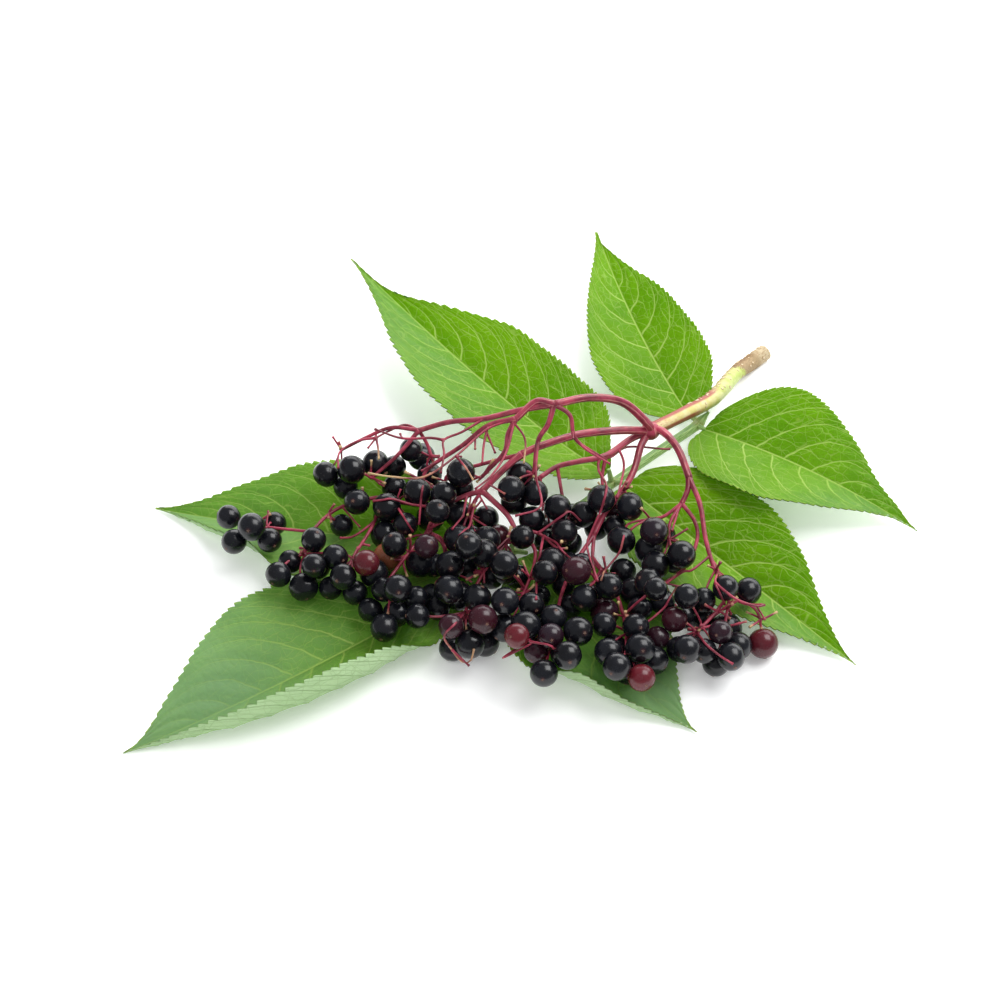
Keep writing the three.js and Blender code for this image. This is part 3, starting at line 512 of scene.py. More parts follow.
class Paint:
    """One material, built node by node. Each method adds a node and gives back its output."""

    def __init__(self, name, **settings):
        self.material = bpy.data.materials.new(name)
        self.material.use_nodes = True
        self.tree = self.material.node_tree
        self.tree.nodes.clear()
        self.shader = self.tree.nodes.new("ShaderNodeBsdfPrincipled")
        self.output = self.tree.nodes.new("ShaderNodeOutputMaterial")
        self.join(self.shader.outputs["BSDF"], self.output.inputs["Surface"])
        for socket, value in settings.items():
            self.shader.inputs[socket.replace("_", " ")].default_value = value

    def join(self, source, socket):
        """Links an output to an input, or sets the input to a plain number, colour or vector."""
        if isinstance(source, bpy.types.NodeSocket):
            self.tree.links.new(source, socket)
        elif source is not None:
            socket.default_value = source

    def carried(self, name):
        """What the mesh's points carry under this name, as (vector, number)."""
        node = self.tree.nodes.new("ShaderNodeAttribute")
        node.attribute_name = name
        return node.outputs["Vector"], node.outputs["Fac"]

    def position(self):
        """The place on the object, in metres."""
        return self.tree.nodes.new("ShaderNodeTexCoord").outputs["Object"]

    def parts(self, vector):
        node = self.tree.nodes.new("ShaderNodeSeparateXYZ")
        self.join(vector, node.inputs[0])
        return node.outputs["X"], node.outputs["Y"], node.outputs["Z"]

    def round_stem(self):
        """Where a point is on a stem: the cosine, the sine and the angle round it, and how far along."""
        cosine, sine, along = self.parts(self.carried("course")[0])
        return cosine, sine, self.math("ARCTAN2", sine, cosine), along

    def vector(self, x, y, z=0.0):
        node = self.tree.nodes.new("ShaderNodeCombineXYZ")
        for source, socket in zip((x, y, z), node.inputs):
            self.join(source, socket)
        return node.outputs[0]

    def math(self, operation, a, b=None, c=None):
        node = self.tree.nodes.new("ShaderNodeMath")
        node.operation = operation
        for source, socket in zip((a, b, c), node.inputs):
            self.join(source, socket)
        return node.outputs[0]

    def plus(self, a, b):
        return self.math("ADD", a, b)

    def minus(self, a, b):
        return self.math("SUBTRACT", a, b)

    def times(self, a, b, more=None):
        """a times b, and more added to that."""
        return self.math("MULTIPLY" if more is None else "MULTIPLY_ADD", a, b, more)

    def most(self, first, *others):
        """The greatest of them."""
        for other in others:
            first = self.math("MAXIMUM", first, other)
        return first

    def step(self, value, low, high, at_low=0.0, at_high=1.0):
        """A smooth step of value from at_low, where it is low, to at_high, where it is high."""
        node = self.tree.nodes.new("ShaderNodeMapRange")
        node.interpolation_type = "SMOOTHSTEP"
        for source, socket in zip((value, low, high, at_low, at_high), node.inputs):
            self.join(source, socket)
        return node.outputs[0]

    def noise(self, vector, scale, detail=2.0, roughness=0.5):
        node = self.tree.nodes.new("ShaderNodeTexNoise")
        self.join(vector, node.inputs["Vector"])
        node.inputs["Scale"].default_value = scale
        node.inputs["Detail"].default_value = detail
        node.inputs["Roughness"].default_value = roughness
        return node.outputs["Fac"]

    def net(self, vector, scale):
        """The way to the nearest line of a net of irregular meshes."""
        node = self.tree.nodes.new("ShaderNodeTexVoronoi")
        node.feature = "DISTANCE_TO_EDGE"
        self.join(vector, node.inputs["Vector"])
        node.inputs["Scale"].default_value = scale
        return node.outputs["Distance"]

    def chance(self, value):
        """A number between 0 and 1 that is another one for each value."""
        node = self.tree.nodes.new("ShaderNodeTexWhiteNoise")
        node.noise_dimensions = "1D"
        self.join(value, node.inputs["W"])
        return node.outputs["Value"]

    def dots(self, vector, scale):
        """The way to the nearest of scattered points."""
        node = self.tree.nodes.new("ShaderNodeTexVoronoi")
        self.join(vector, node.inputs["Vector"])
        node.inputs["Scale"].default_value = scale
        return node.outputs["Distance"]

    def mix(self, share, a, b):
        """From colour a to colour b as share goes from 0 to 1."""
        node = self.tree.nodes.new("ShaderNodeMix")
        node.data_type = "RGBA"
        self.join(share, node.inputs[0])
        for source, socket in ((a, node.inputs[6]), (b, node.inputs[7])):
            self.join((*source, 1.0) if isinstance(source, tuple) else source, socket)
        return node.outputs[2]

    def bands(self, value, *stops):
        """A colour ramp through (place, colour) stops."""
        node = self.tree.nodes.new("ShaderNodeValToRGB")
        self.join(value, node.inputs[0])
        elements = node.color_ramp.elements
        while len(elements) < len(stops):
            elements.new(0.5)
        for element, (at, colour) in zip(elements, stops):
            element.position = at
            element.color = (*colour, 1.0)
        return node.outputs[0]

    def bump(self, height, strength, distance):
        node = self.tree.nodes.new("ShaderNodeBump")
        node.inputs["Strength"].default_value = strength
        node.inputs["Distance"].default_value = distance
        self.join(height, node.inputs["Height"])
        self.join(node.outputs[0], self.shader.inputs["Normal"])

    def finish(self, colour, roughness=None):
        self.join(colour, self.shader.inputs["Base Color"])
        self.join(roughness, self.shader.inputs["Roughness"])
        return self.material


VEIN_SPACING = 8.6  # millimetres between side veins at the midrib
VEIN_SLANT = 0.75  # of that, measured square to the veins
RUNG_SPACING = 3.3  # between the small veins that join two side veins
FOLD = 0.27  # slope by which each half looks more raised towards its margin than it is
LEAF_GREEN_DARK = (0.088, 0.226, 0.0012)
LEAF_GREEN_LIGHT = (0.150, 0.316, 0.0025)
# Colour of the painted sheen, a pale painted reflection of the sky on some halves of the blades.
LEAF_PAINTED_SHEEN = (0.310, 0.430, 0.320)
LEAF_VEIN = (0.420, 0.580, 0.130)
LEAF_MARGIN = (0.440, 0.520, 0.070)
LEAF_UNDER = (0.540, 0.745, 0.410)
LEAF_UNDER_LIGHT = (0.620, 0.815, 0.490)
# Underside veins: their own grey-green, darkened further by painted shade along the raised ribs.
LEAF_UNDER_VEIN_AND_SHADE = (0.220, 0.350, 0.150)
LEAF_GLOW = (0.310, 0.600, 0.018)  # of daylight through the blade
LEAF_SPECK = (0.360, 0.420, 0.080)
LEAF_GLOW_VEIN = (0.380, 0.640, 0.090)
TRANSLUCENCE = 0.36


def leaf_skin():
    """Fresh green above with paler veins and a fine net of them, pale green below with darker veins, and
    a pale painted sheen on some halves of the upper face. Side veins fork towards the margin, and small
    veins join them like rungs."""
    paint = Paint("leaf blade", IOR=1.42, Specular_IOR_Level=0.14)
    veins, _ = paint.carried("veins")
    phase, along, across = paint.parts(veins)
    _, under = paint.carried("under")
    _, margin = paint.carried("margin")
    _, painted_sheen = paint.carried("painted_sheen")
    flat = paint.vector(along, across)
    waver = paint.minus(paint.noise(flat, 0.22, 2.0), 0.5)
    phase = paint.times(waver, 0.2, phase)
    out = paint.math("ABSOLUTE", across)
    share = paint.math("DIVIDE", out, paint.plus(out, paint.plus(margin, 0.01)))

    def line(value, spacing, low, high):
        """1 on the lines where value is half way between whole numbers, this many millimetres apart."""
        away = paint.math("ABSOLUTE", paint.minus(paint.math("FRACT", value), 0.5))
        away = paint.times(away, spacing)
        return paint.step(away, low, high, 1.0, 0.0)

    across_veins = VEIN_SPACING * VEIN_SLANT
    thin = paint.step(share, 0.0, 1.0, 0.36, 0.25)
    side = line(phase, across_veins, paint.times(thin, 0.3), thin)
    upward = line(paint.plus(phase, paint.step(share, 0.45, 0.85, 0.0, 0.34)), across_veins, 0.06, 0.24)
    downward = line(paint.minus(phase, paint.step(share, 0.6, 0.95, 0.0, 0.3)), across_veins, 0.06, 0.22)
    forks = paint.most(paint.times(upward, 0.75), paint.times(downward, 0.65))
    rib_width = paint.step(paint.plus(out, margin), 1.0, 16.0, 0.14, 0.34)
    rib = paint.step(out, paint.times(rib_width, 0.45), rib_width, 1.0, 0.0)
    between = paint.math("FLOOR", paint.plus(phase, 0.5))
    rung = paint.times(paint.chance(between), 5.0, paint.math("DIVIDE", out, RUNG_SPACING))
    rung = paint.times(paint.noise(flat, 0.16), 1.8, rung)
    patchy = paint.step(paint.noise(flat, 0.18), 0.35, 0.6, 0.35, 1.0)
    rung = paint.times(line(rung, RUNG_SPACING, 0.05, 0.19), patchy)
    coarse = paint.step(paint.net(flat, 0.36), 0.008, 0.035, 1.0, 0.0)
    fine = paint.step(paint.net(flat, 0.95), 0.015, 0.07, 1.0, 0.0)

    kinds = ((rib, 0.85), (side, 0.9), (forks, 0.75), (rung, 0.6), (coarse, 0.42), (fine, 0.10))
    lines = paint.most(*(paint.times(kind, strength) for kind, strength in kinds))
    # Where the painted sheen lies on the upper face, the veins are painted fainter.
    sheen_above = paint.times(painted_sheen, paint.minus(1.0, under))
    lines = paint.times(lines, paint.times(sheen_above, -1.5, 1.0))

    broad = paint.noise(flat, 0.045, 3.0, 0.55)
    green = paint.mix(paint.step(broad, 0.3, 0.7), LEAF_GREEN_DARK, LEAF_GREEN_LIGHT)
    speck = paint.step(paint.dots(flat, 0.09), 0.03, 0.07, 1.0, 0.0)
    green = paint.mix(paint.times(speck, 0.5), green, LEAF_SPECK)
    # Painted sheen: a pale painted reflection mixed into the green.
    green = paint.mix(painted_sheen, green, LEAF_PAINTED_SHEEN)
    green = paint.mix(lines, green, LEAF_VEIN)
    edge = paint.step(margin, 0.12, 0.5, 1.0, 0.0)
    green = paint.mix(paint.times(edge, 0.7), green, LEAF_MARGIN)

    below = paint.mix(paint.step(broad, 0.3, 0.7), LEAF_UNDER, LEAF_UNDER_LIGHT)
    # Underside veins painted darker: partly their own colour, partly painted shade along the raised ribs.
    below = paint.mix(paint.times(lines, 0.7), below, LEAF_UNDER_VEIN_AND_SHADE)
    colour = paint.mix(under, green, below)

    puffed = paint.times(paint.step(paint.net(flat, 0.45), 0.0, 0.35), 0.04)
    height = paint.times(lines, -0.10, paint.times(out, FOLD, puffed))
    height = paint.times(height, paint.times(under, -2.0, 1.0))
    paint.bump(height, 1.0, 0.001)
    roughness = paint.times(under, 0.25, paint.step(paint.noise(flat, 0.6), 0.3, 0.7, 0.34, 0.42))
    paint.finish(colour, roughness)

    glow = paint.tree.nodes.new("ShaderNodeBsdfTranslucent")
    paint.join(paint.mix(lines, LEAF_GLOW, LEAF_GLOW_VEIN), glow.inputs["Color"])
    blend = paint.tree.nodes.new("ShaderNodeMixShader")
    blend.inputs[0].default_value = TRANSLUCENCE
    paint.join(paint.shader.outputs[0], blend.inputs[1])
    paint.join(glow.outputs[0], blend.inputs[2])
    paint.join(blend.outputs[0], paint.output.inputs["Surface"])
    return paint.material


CRIMSON = (0.390, 0.042, 0.082)
CRIMSON_DEEP = (0.150, 0.014, 0.030)
ROSE = (0.580, 0.230, 0.210)
STRAW = (0.500, 0.350, 0.170)


def stalk_skin():
    """Crimson, rosier along the ribs of the thick stalks and straw-coloured at the dry ends."""
    paint = Paint("fruit stalk", IOR=1.45, Specular_IOR_Level=0.5, Coat_Weight=0.12, Coat_Roughness=0.3)
    _, _, angle, along = paint.round_stem()
    _, girth = paint.carried("girth")
    _, dry = paint.carried("dry")
    place_on = paint.position()
    blotch = paint.noise(place_on, 170.0, 4.0, 0.65)
    fine = paint.noise(paint.vector(paint.times(angle, 1.6), paint.times(along, 0.12)), 3.0, 2.0)
    colour = paint.mix(paint.step(blotch, 0.38, 0.66), CRIMSON_DEEP, CRIMSON)
    rib = paint.math("SINE", paint.times(angle, 5.0, paint.times(along, 0.05)))
    rib = paint.step(rib, 0.35, 0.95)
    thick = paint.step(girth, 0.55, 0.95)
    streak = paint.times(paint.times(rib, thick), paint.step(fine, 0.35, 0.6))
    colour = paint.mix(paint.times(streak, 0.75), colour, ROSE)
    colour = paint.mix(paint.times(paint.step(fine, 0.56, 0.8), 0.35), colour, ROSE)
    dried = paint.step(paint.times(paint.minus(blotch, 0.5), 0.8, dry), 0.35, 0.75)
    colour = paint.mix(dried, colour, STRAW)
    paint.bump(paint.plus(paint.times(rib, 0.5), blotch), 0.25, 0.0002)
    return paint.finish(colour, paint.step(blotch, 0.3, 0.7, 0.34, 0.48))


# A berry's colour by how ripe it is.
BERRY_STAGES = (
    (0.0, (0.230, 0.070, 0.030)),
    (0.22, (0.105, 0.007, 0.012)),
    (0.45, (0.040, 0.005, 0.010)),
    (0.68, (0.014, 0.005, 0.010)),
    (0.9, (0.0030, 0.0031, 0.0048)),
)
BERRY_FLUSH = (0.060, 0.010, 0.015)
SCAR = (0.400, 0.220, 0.140)
BERRY_SPECK = (0.35, 0.30, 0.28)
BLOOM = (0.20, 0.24, 0.34)


def berry_skin():
    """Glossy blue-black when ripe, wine red and orange-brown before that, with a pale dry scar."""
    paint = Paint("berry", IOR=1.45, Specular_IOR_Level=0.5, Coat_Weight=0.1, Coat_Roughness=0.15)
    scar_place, _ = paint.carried("scar_place")
    x, y, _ = paint.parts(scar_place)
    _, ripe = paint.carried("ripeness")
    _, scar = paint.carried("scar")
    place_on = paint.position()
    cloud = paint.noise(place_on, 420.0, 3.0, 0.55)
    ripe = paint.times(paint.minus(cloud, 0.5), 0.16, ripe)
    colour = paint.bands(ripe, *BERRY_STAGES)
    way = paint.math("SQRT", paint.plus(paint.times(x, x), paint.times(y, y)))
    flush = paint.step(way, 0.12, 0.3, 0.25, 0.0)
    colour = paint.mix(flush, colour, BERRY_FLUSH)
    colour = paint.mix(paint.times(scar, 0.75), colour, SCAR)
    speck = paint.minus(1.0, paint.step(paint.dots(place_on, 900.0), 0.06, 0.14))
    colour = paint.mix(paint.times(speck, 0.05), colour, BERRY_SPECK)
    bloom = paint.step(paint.noise(place_on, 150.0, 2.0), 0.3, 0.75)
    colour = paint.mix(paint.times(bloom, 0.02), colour, BLOOM)
    paint.bump(paint.noise(place_on, 2600.0, 2.0), 0.06, 0.0001)
    roughness = paint.times(scar, 0.3, paint.step(cloud, 0.3, 0.7, 0.20, 0.29))
    return paint.finish(colour, roughness)


WOOD_END = 4.0  # millimetres from the cut end where the bark has come off,
BARK_END = 14.5  # then brown bark as far as this,
BLUSH_START = 32.0  # then smooth skin, where red lines begin
UPPER_LINE = 2.15  # round the twig, in radians from its right side over its top
LOWER_LINE = -0.1
BARK_DARK = (0.120, 0.060, 0.022)
BARK_LIGHT = (0.300, 0.190, 0.090)
BARK_STRAW = (0.620, 0.500, 0.300)
WOOD_DARK = (0.380, 0.270, 0.150)
WOOD_LIGHT = (0.560, 0.460, 0.300)
FRESH_DARK = (0.400, 0.490, 0.100)
FRESH_LIGHT = (0.520, 0.580, 0.210)
FRESH_BROWN = (0.440, 0.330, 0.110)
CREAM_DARK = (0.540, 0.480, 0.160)
CREAM_LIGHT = (0.620, 0.560, 0.280)
TWIG_RED = (0.300, 0.030, 0.042)
WART_RIM = (0.300, 0.190, 0.080)
WART_TOP = (0.640, 0.520, 0.360)
CUT_WOOD = (0.780, 0.690, 0.470)
CUT_PITH = (0.880, 0.850, 0.760)


def twig_skin():
    """Straw-coloured wood and brown bark at the cut end, then yellow-green skin, then cream between two
    red lines. On the cut face, pale wood round a white pith."""
    paint = Paint("twig", IOR=1.45, Specular_IOR_Level=0.4)
    cosine, sine, angle, along = paint.round_stem()
    _, wart = paint.carried("wart")
    _, cut = paint.carried("cut")
    wrapped = paint.vector(paint.times(cosine, 2.0), paint.times(sine, 2.0), along)
    grain = paint.noise(paint.vector(paint.times(angle, 3.0), paint.times(along, 0.35)), 2.2, 4.0, 0.6)
    broad = paint.noise(wrapped, 0.35, 3.0)

    def line(centre, low, high):
        """1 along the line at this angle round the twig."""
        return paint.step(paint.math("COSINE", paint.minus(angle, centre)), low, high)

    far_side = line(2.6, 0.2, 0.9)
    bark = paint.mix(paint.step(grain, 0.3, 0.7), BARK_DARK, BARK_LIGHT)
    bark = paint.mix(far_side, paint.mix(0.3, bark, BARK_STRAW), bark)
    wood = paint.mix(paint.step(grain, 0.35, 0.6), WOOD_DARK, WOOD_LIGHT)
    fresh = paint.mix(paint.step(broad, 0.35, 0.65), FRESH_DARK, FRESH_LIGHT)
    fresh = paint.mix(paint.times(line(2.5, 0.7, 0.95), 0.7), fresh, FRESH_BROWN)
    cream = paint.mix(paint.step(broad, 0.35, 0.65), CREAM_DARK, CREAM_LIGHT)
    ragged = paint.times(paint.minus(grain, 0.5), 7.0, along)
    colour = paint.mix(paint.step(ragged, WOOD_END - 1.0, WOOD_END + 1.5), wood, bark)
    uneven = paint.times(paint.math("COSINE", paint.minus(angle, 2.6)), -2.0, ragged)
    colour = paint.mix(paint.step(uneven, BARK_END - 0.5, BARK_END + 1.0), colour, fresh)
    colour = paint.mix(paint.step(along, BLUSH_START - 8.0, BLUSH_START + 8.0), colour, cream)
    upper = line(UPPER_LINE, 0.62, 0.86)
    upper = paint.times(upper, paint.step(ragged, BLUSH_START - 4.0, BLUSH_START + 3.0))
    lower = line(LOWER_LINE, 0.80, 0.95)
    lower = paint.times(lower, paint.step(ragged, BLUSH_START + 6.0, BLUSH_START + 14.0))
    flush = paint.times(paint.step(along, 45.0, 62.0), paint.step(grain, 0.45, 0.7, 0.2, 0.8))
    red = paint.most(paint.most(upper, lower), flush)
    colour = paint.mix(paint.times(red, 0.9), colour, TWIG_RED)
    colour = paint.mix(paint.step(wart, 0.02, 0.3, 0.0, 0.8), colour, WART_RIM)
    colour = paint.mix(paint.step(wart, 0.45, 0.75), colour, WART_TOP)
    face = paint.mix(paint.step(cut, 0.7, 0.9), CUT_WOOD, CUT_PITH)
    colour = paint.mix(paint.step(cut, 0.2, 0.4), colour, face)
    paint.bump(grain, 0.3, 0.0003)
    return paint.finish(colour, paint.step(along, BARK_END, BARK_END + 4.0, 0.75, 0.42))

LEAF_STALK_DARK = (0.150, 0.310, 0.055)
LEAF_STALK_LIGHT = (0.430, 0.600, 0.230)
GROOVE_GREEN = (0.075, 0.170, 0.030)
JOINT_BROWN = (0.300, 0.240, 0.080)


def leaf_stalk_skin():
    """Green with paler ribs along it, a little brown where leaflets join."""
    paint = Paint("leaf stalk", IOR=1.45, Specular_IOR_Level=0.5)
    _, sine, angle, along = paint.round_stem()
    _, joint = paint.carried("joint")
    grain = paint.noise(paint.vector(paint.times(angle, 2.5), paint.times(along, 0.1)), 3.0, 3.0)
    colour = paint.mix(paint.step(grain, 0.38, 0.62), LEAF_STALK_DARK, LEAF_STALK_LIGHT)
    groove = paint.step(sine, 0.75, 0.98)
    colour = paint.mix(paint.times(groove, 0.7), colour, GROOVE_GREEN)
    colour = paint.mix(paint.times(joint, 0.45), colour, JOINT_BROWN)
    paint.bump(grain, 0.3, 0.0002)
    return paint.finish(colour, 0.42)


TABLE_WHITE = (0.905, 0.910, 0.915)
TABLE_WHITER = (0.915, 0.918, 0.920)


def floor_skin():
    # The table glows faintly though it is no lamp: painted light that keeps the shadows on it pale.
    paint = Paint("white table", Emission_Strength=0.15, Emission_Color=(1.0, 1.0, 1.0, 1.0))
    cloud = paint.noise(paint.position(), 3.0, 2.0)
    return paint.finish(paint.mix(cloud, TABLE_WHITE, TABLE_WHITER), 0.6)


# ---- Leaflets -----------------------------------------------------------------------------------
CURL_START = 0.62  # share of the half-width at which a margin starts to curl
CURL_END = 0.92
CURL_ONSET = 0.18  # share of the length over which it comes to its full angle
RISE_STEPS = 12  # in which a side's rise is summed from the midrib out
NARROWEST = 0.15  # half-width at both ends
BLADE_ENDS = (0.012, 0.992)


def outline_width(outline, s):
    """s to a power, times 1 less s to a power to a power, over its greatest value: 1 where widest."""
    fullness, turn, taper = outline
    widest = (fullness / (fullness + turn * taper)) ** (1 / turn)

    def width(x):
        return x**fullness * (1 - x**turn) ** taper

    return width(s) / width(widest)


# Where a blade's margin is fuller or leaner than its outline, by side: the share of the length, how far
# that reaches, and millimetres.
MARGINS = {
    "leaflet_1_left": (((0.2, 0.13, 1.9), (0.88, 0.07, 0.9)), ((0.5, 0.17, 3.2), (0.87, 0.06, -0.8))),
    "leaflet_1_right": (((0.8, 0.2, 1.7),), ((0.66, 0.17, 2.3), (0.95, 0.04, -0.9), (0.14, 0.07, -0.8))),
    "leaflet_2_left": (((0.08, 0.08, 2.4), (0.75, 0.1, -0.3)), ()),
    "leaflet_2_right": (
        ((0.7, 0.19, 3.1), (0.3, 0.09, -1.0)),
        ((0.64, 0.11, 2.4), (0.88, 0.07, -2.3), (0.2, 0.1, 2.2)),
    ),
    "leaflet_3_left": ((), ()),
    "leaflet_3_right": ((), ((0.64, 0.24, 2.5),)),
    "leaflet_end": (((0.5, 0.3, 1.8),), ((0.5, 0.2, 0.7), (0.85, 0.05, 0.5))),
}

# How far three margins roll over, in degrees, where along the leaflet they begin to, and in which band.
ROLLED = {
    "leaflet_3_left": {"curl": (0, 80), "band": (0.60, 0.90)},
    "leaflet_3_right": {"curl": (84, 0), "band": (0.60, 0.90)},
    "leaflet_end": {"curl": (100, 0), "curl_from": 0.22, "band": (0.58, 0.88)},
}


def blade_width(leaflet, s, left):
    """The half's width times the outline, and a smooth swelling for each place of its margin."""
    full = np.where(left, *leaflet["halves"]) * outline_width(leaflet["outline"], s)
    for side, swellings in zip((left, ~left), leaflet.get("margins", ())):
        for centre, spread, more in swellings:
            full = full + side * more * np.exp(-(((s - centre) / spread) ** 2))
    return np.maximum(full, NARROWEST)


def blade_point(leaflet, s, t):
    """The upper face: s runs from base to tip and t from -1, the right margin, to 1, the left one.
    The midrib is the parabola through its three points. A side leaves it level with the table and square
    to it, at the leaflet's rise plus its curl, summed in small steps outward."""
    base, middle, tip = (np.array(p, float) for p in leaflet["midrib"])
    s, t = np.broadcast_arrays(np.asarray(s, float), np.asarray(t, float))
    left = t >= 0
    reach = np.abs(t)
    q = s[..., None]
    rib = (1 - q) * (1 - 2 * q) * base + 4 * q * (1 - q) * middle + q * (2 * q - 1) * tip
    run = (4 * q - 3) * base[:2] + (4 - 8 * q) * middle[:2] + (4 * q - 1) * tip[:2]
    run = unit(run)
    across = np.stack([-run[..., 1], run[..., 0]], axis=-1)
    width = blade_width(leaflet, s, left)
    (left_low, left_high), (right_low, right_high) = leaflet["rise"]
    rise = mix(np.where(left, left_low, right_low), np.where(left, left_high, right_high), ease(s / 0.6))
    curl = np.where(left, *leaflet["curl"]) * ease((s - leaflet["curl_from"]) / CURL_ONSET)
    curl_start, curl_end = leaflet.get("band", (CURL_START, CURL_END))
    out = np.zeros_like(s)
    up = np.zeros_like(s)
    for k in range(RISE_STEPS):
        share = reach * (k + 0.5) / RISE_STEPS
        angle = np.radians(rise + curl * ease((share - curl_start) / (curl_end - curl_start)))
        out = out + width * reach * np.cos(angle) / RISE_STEPS
        up = up + width * reach * np.sin(angle) / RISE_STEPS
    sign = np.where(left, 1.0, -1.0)
    flat = rib[..., :2] + (sign * out)[..., None] * across
    return np.concatenate([flat, (rib[..., 2] + up)[..., None]], axis=-1)


def blade_points(rows, columns):
    """Points all over the leaflets' upper faces, with this many columns on each side of a midrib."""
    s = mix(*BLADE_ENDS, np.arange(rows) / (rows - 1))[:, None]
    t = (np.arange(-columns, columns + 1) / columns)[None, :]
    return np.vstack([blade_point(leaflet, s, t).reshape(-1, 3) for leaflet in LEAFLETS.values()])


TOOTH_PITCH = (0.95, 0.013)  # between teeth, and more for each millimetre of the leaflet's length
TOOTH_DEPTH = 0.36  # of that pitch
TOOTH_PLACES = (0.0, 0.25, 0.5, 0.75, 0.9)  # where a tooth is sampled, as shares of its pitch
TOOTH_RISE = (0.0, 0.38, 0.66, 0.9, 1.0)  # how far out its edge has come at those places
COLUMNS = (0.0, 0.02, 0.045, 0.08, 0.13, 0.19, 0.26, 0.33, 0.4, 0.47, 0.54, 0.61, 0.68, 0.75, 0.81, 0.86,
           0.9, 0.94, 0.97, 1.0)
SKIN_DEPTH = 0.12  # the blade's upper face lies this far below the form it follows
BLADE = 0.26  # thickness of the blade between its veins
# Painted sheen: how much of a pale painted reflection of the sky lies on a blade's left and right halves.
PAINTED_SHEEN_BY_HALF = {
    "leaflet_1_left": (0.02, 0.12),
    "leaflet_1_right": (0.0, 0.0),
    "leaflet_2_left": (0.0, 0.1),
    "leaflet_2_right": (0.09, 0.0),
    "leaflet_3_left": (0.36, 0.36),
    "leaflet_3_right": (0.25, 0.10),
    "leaflet_end": (0.35, 0.35),
}
QUILT = 0.38  # height of the blade's rise between two side veins


def leaflet_surface(leaflet, number, painted_sheen):
    """A toothed blade. Its upper face is the leaflet's form, sunk along the midrib and the side veins and
    raised between them; its lower face is the blade's thickness below that, thicker under the veins."""
    draw = np.random.default_rng(number)
    base, middle, tip = (np.array(p, float) for p in leaflet["midrib"])
    long = np.linalg.norm(middle - base) + np.linalg.norm(tip - middle)
    pitch = TOOTH_PITCH[0] + TOOTH_PITCH[1] * long
    teeth = round(long / pitch)
    phases = (np.arange(teeth)[:, None] + np.array(TOOTH_PLACES)).ravel()
    s = mix(*BLADE_ENDS, np.append(phases, teeth) / teeth)[:, None]
    shape = np.append(np.tile(TOOTH_RISE, teeth), 0.0)[:, None]
    depth = TOOTH_DEPTH * pitch * ease(s / 0.12) * mix(1.0, 0.25, ease((s - 0.78) / 0.2))
    share = np.array(COLUMNS)
    t = np.concatenate([-share[:0:-1], share])[None, :]
    left = t >= 0
    width = blade_width(leaflet, s, left)
    uneven = np.repeat(draw.uniform(0.6, 1.15, (teeth + 1, 2)), len(TOOTH_PLACES), axis=0)[: len(s)]
    inset = depth * (1 - shape) * np.where(left, uneven[:, :1], uneven[:, 1:])
    inset = np.minimum(inset, 0.35 * width)
    reach = np.abs(t) - inset / width * ease((np.abs(t) - 0.84) / 0.16)
    t = np.where(left, reach, -reach)

    form = blade_point(leaflet, s, t)
    forward = np.gradient(form, axis=0)
    aside = np.gradient(form, axis=1)
    normal = unit(np.cross(forward, aside))

    veins = round(long / VEIN_SPACING)
    lean = 0.12 * np.abs(t) + 0.19 * np.abs(t) ** 2.2
    phase = veins * (s - lean) + np.where(left, 0.0, 0.42) + 0.5
    across = t * width
    along = s * long + 0 * t
    between = np.abs(phase - np.floor(phase) - 0.5) * 2
    from_vein = between * long / veins * VEIN_SLANT / 2
    inner = 1 - ease((np.abs(t) - 0.7) / 0.3)
    quilt = QUILT * (between * (2 - between) - 0.6) * inner * ease(np.abs(across) / 3.0)
    rib = np.exp(-((across / 0.55) ** 2)) * (1 - 0.7 * s)
    wave = 0.28 * np.sin(2 * math.pi * (s * long / 17.0 + draw.uniform()) + 2.0 * t) * np.abs(t) ** 3
    lift = quilt - 0.22 * rib + wave * np.minimum(width / 12.0, 1.0)
    thick = BLADE + 0.42 * rib + 0.10 * np.exp(-((from_vein / 0.35) ** 2)) * inner
    thick = thick * np.minimum(width / 2.0, 1.0)
    upper = form + (lift - SKIN_DEPTH)[..., None] * normal
    lower = upper - thick[..., None] * normal
    upper[..., 2] = np.maximum(upper[..., 2], BLADE)
    lower[..., 2] = np.maximum(lower[..., 2], 0.02)
    values = {
        "veins": np.stack([phase + number * 7.0, along + number * 130.0, across], axis=-1),
        "under": np.zeros_like(along),
        "margin": (1 - np.abs(t)) * width,
        # Painted sheen, weaker at the base and stronger towards the tip.
        "painted_sheen": np.where(left, *painted_sheen) * mix(0.35, 1.5, ease((s - 0.35) / 0.4)),
    }
    return sheet(upper, lower, values, {**values, "under": np.ones_like(along)})


# ---- Stalks -------------------------------------------------------------------------------------
TALLEST = 36.0  # millimetres above the table, as high as the arch of stalks comes


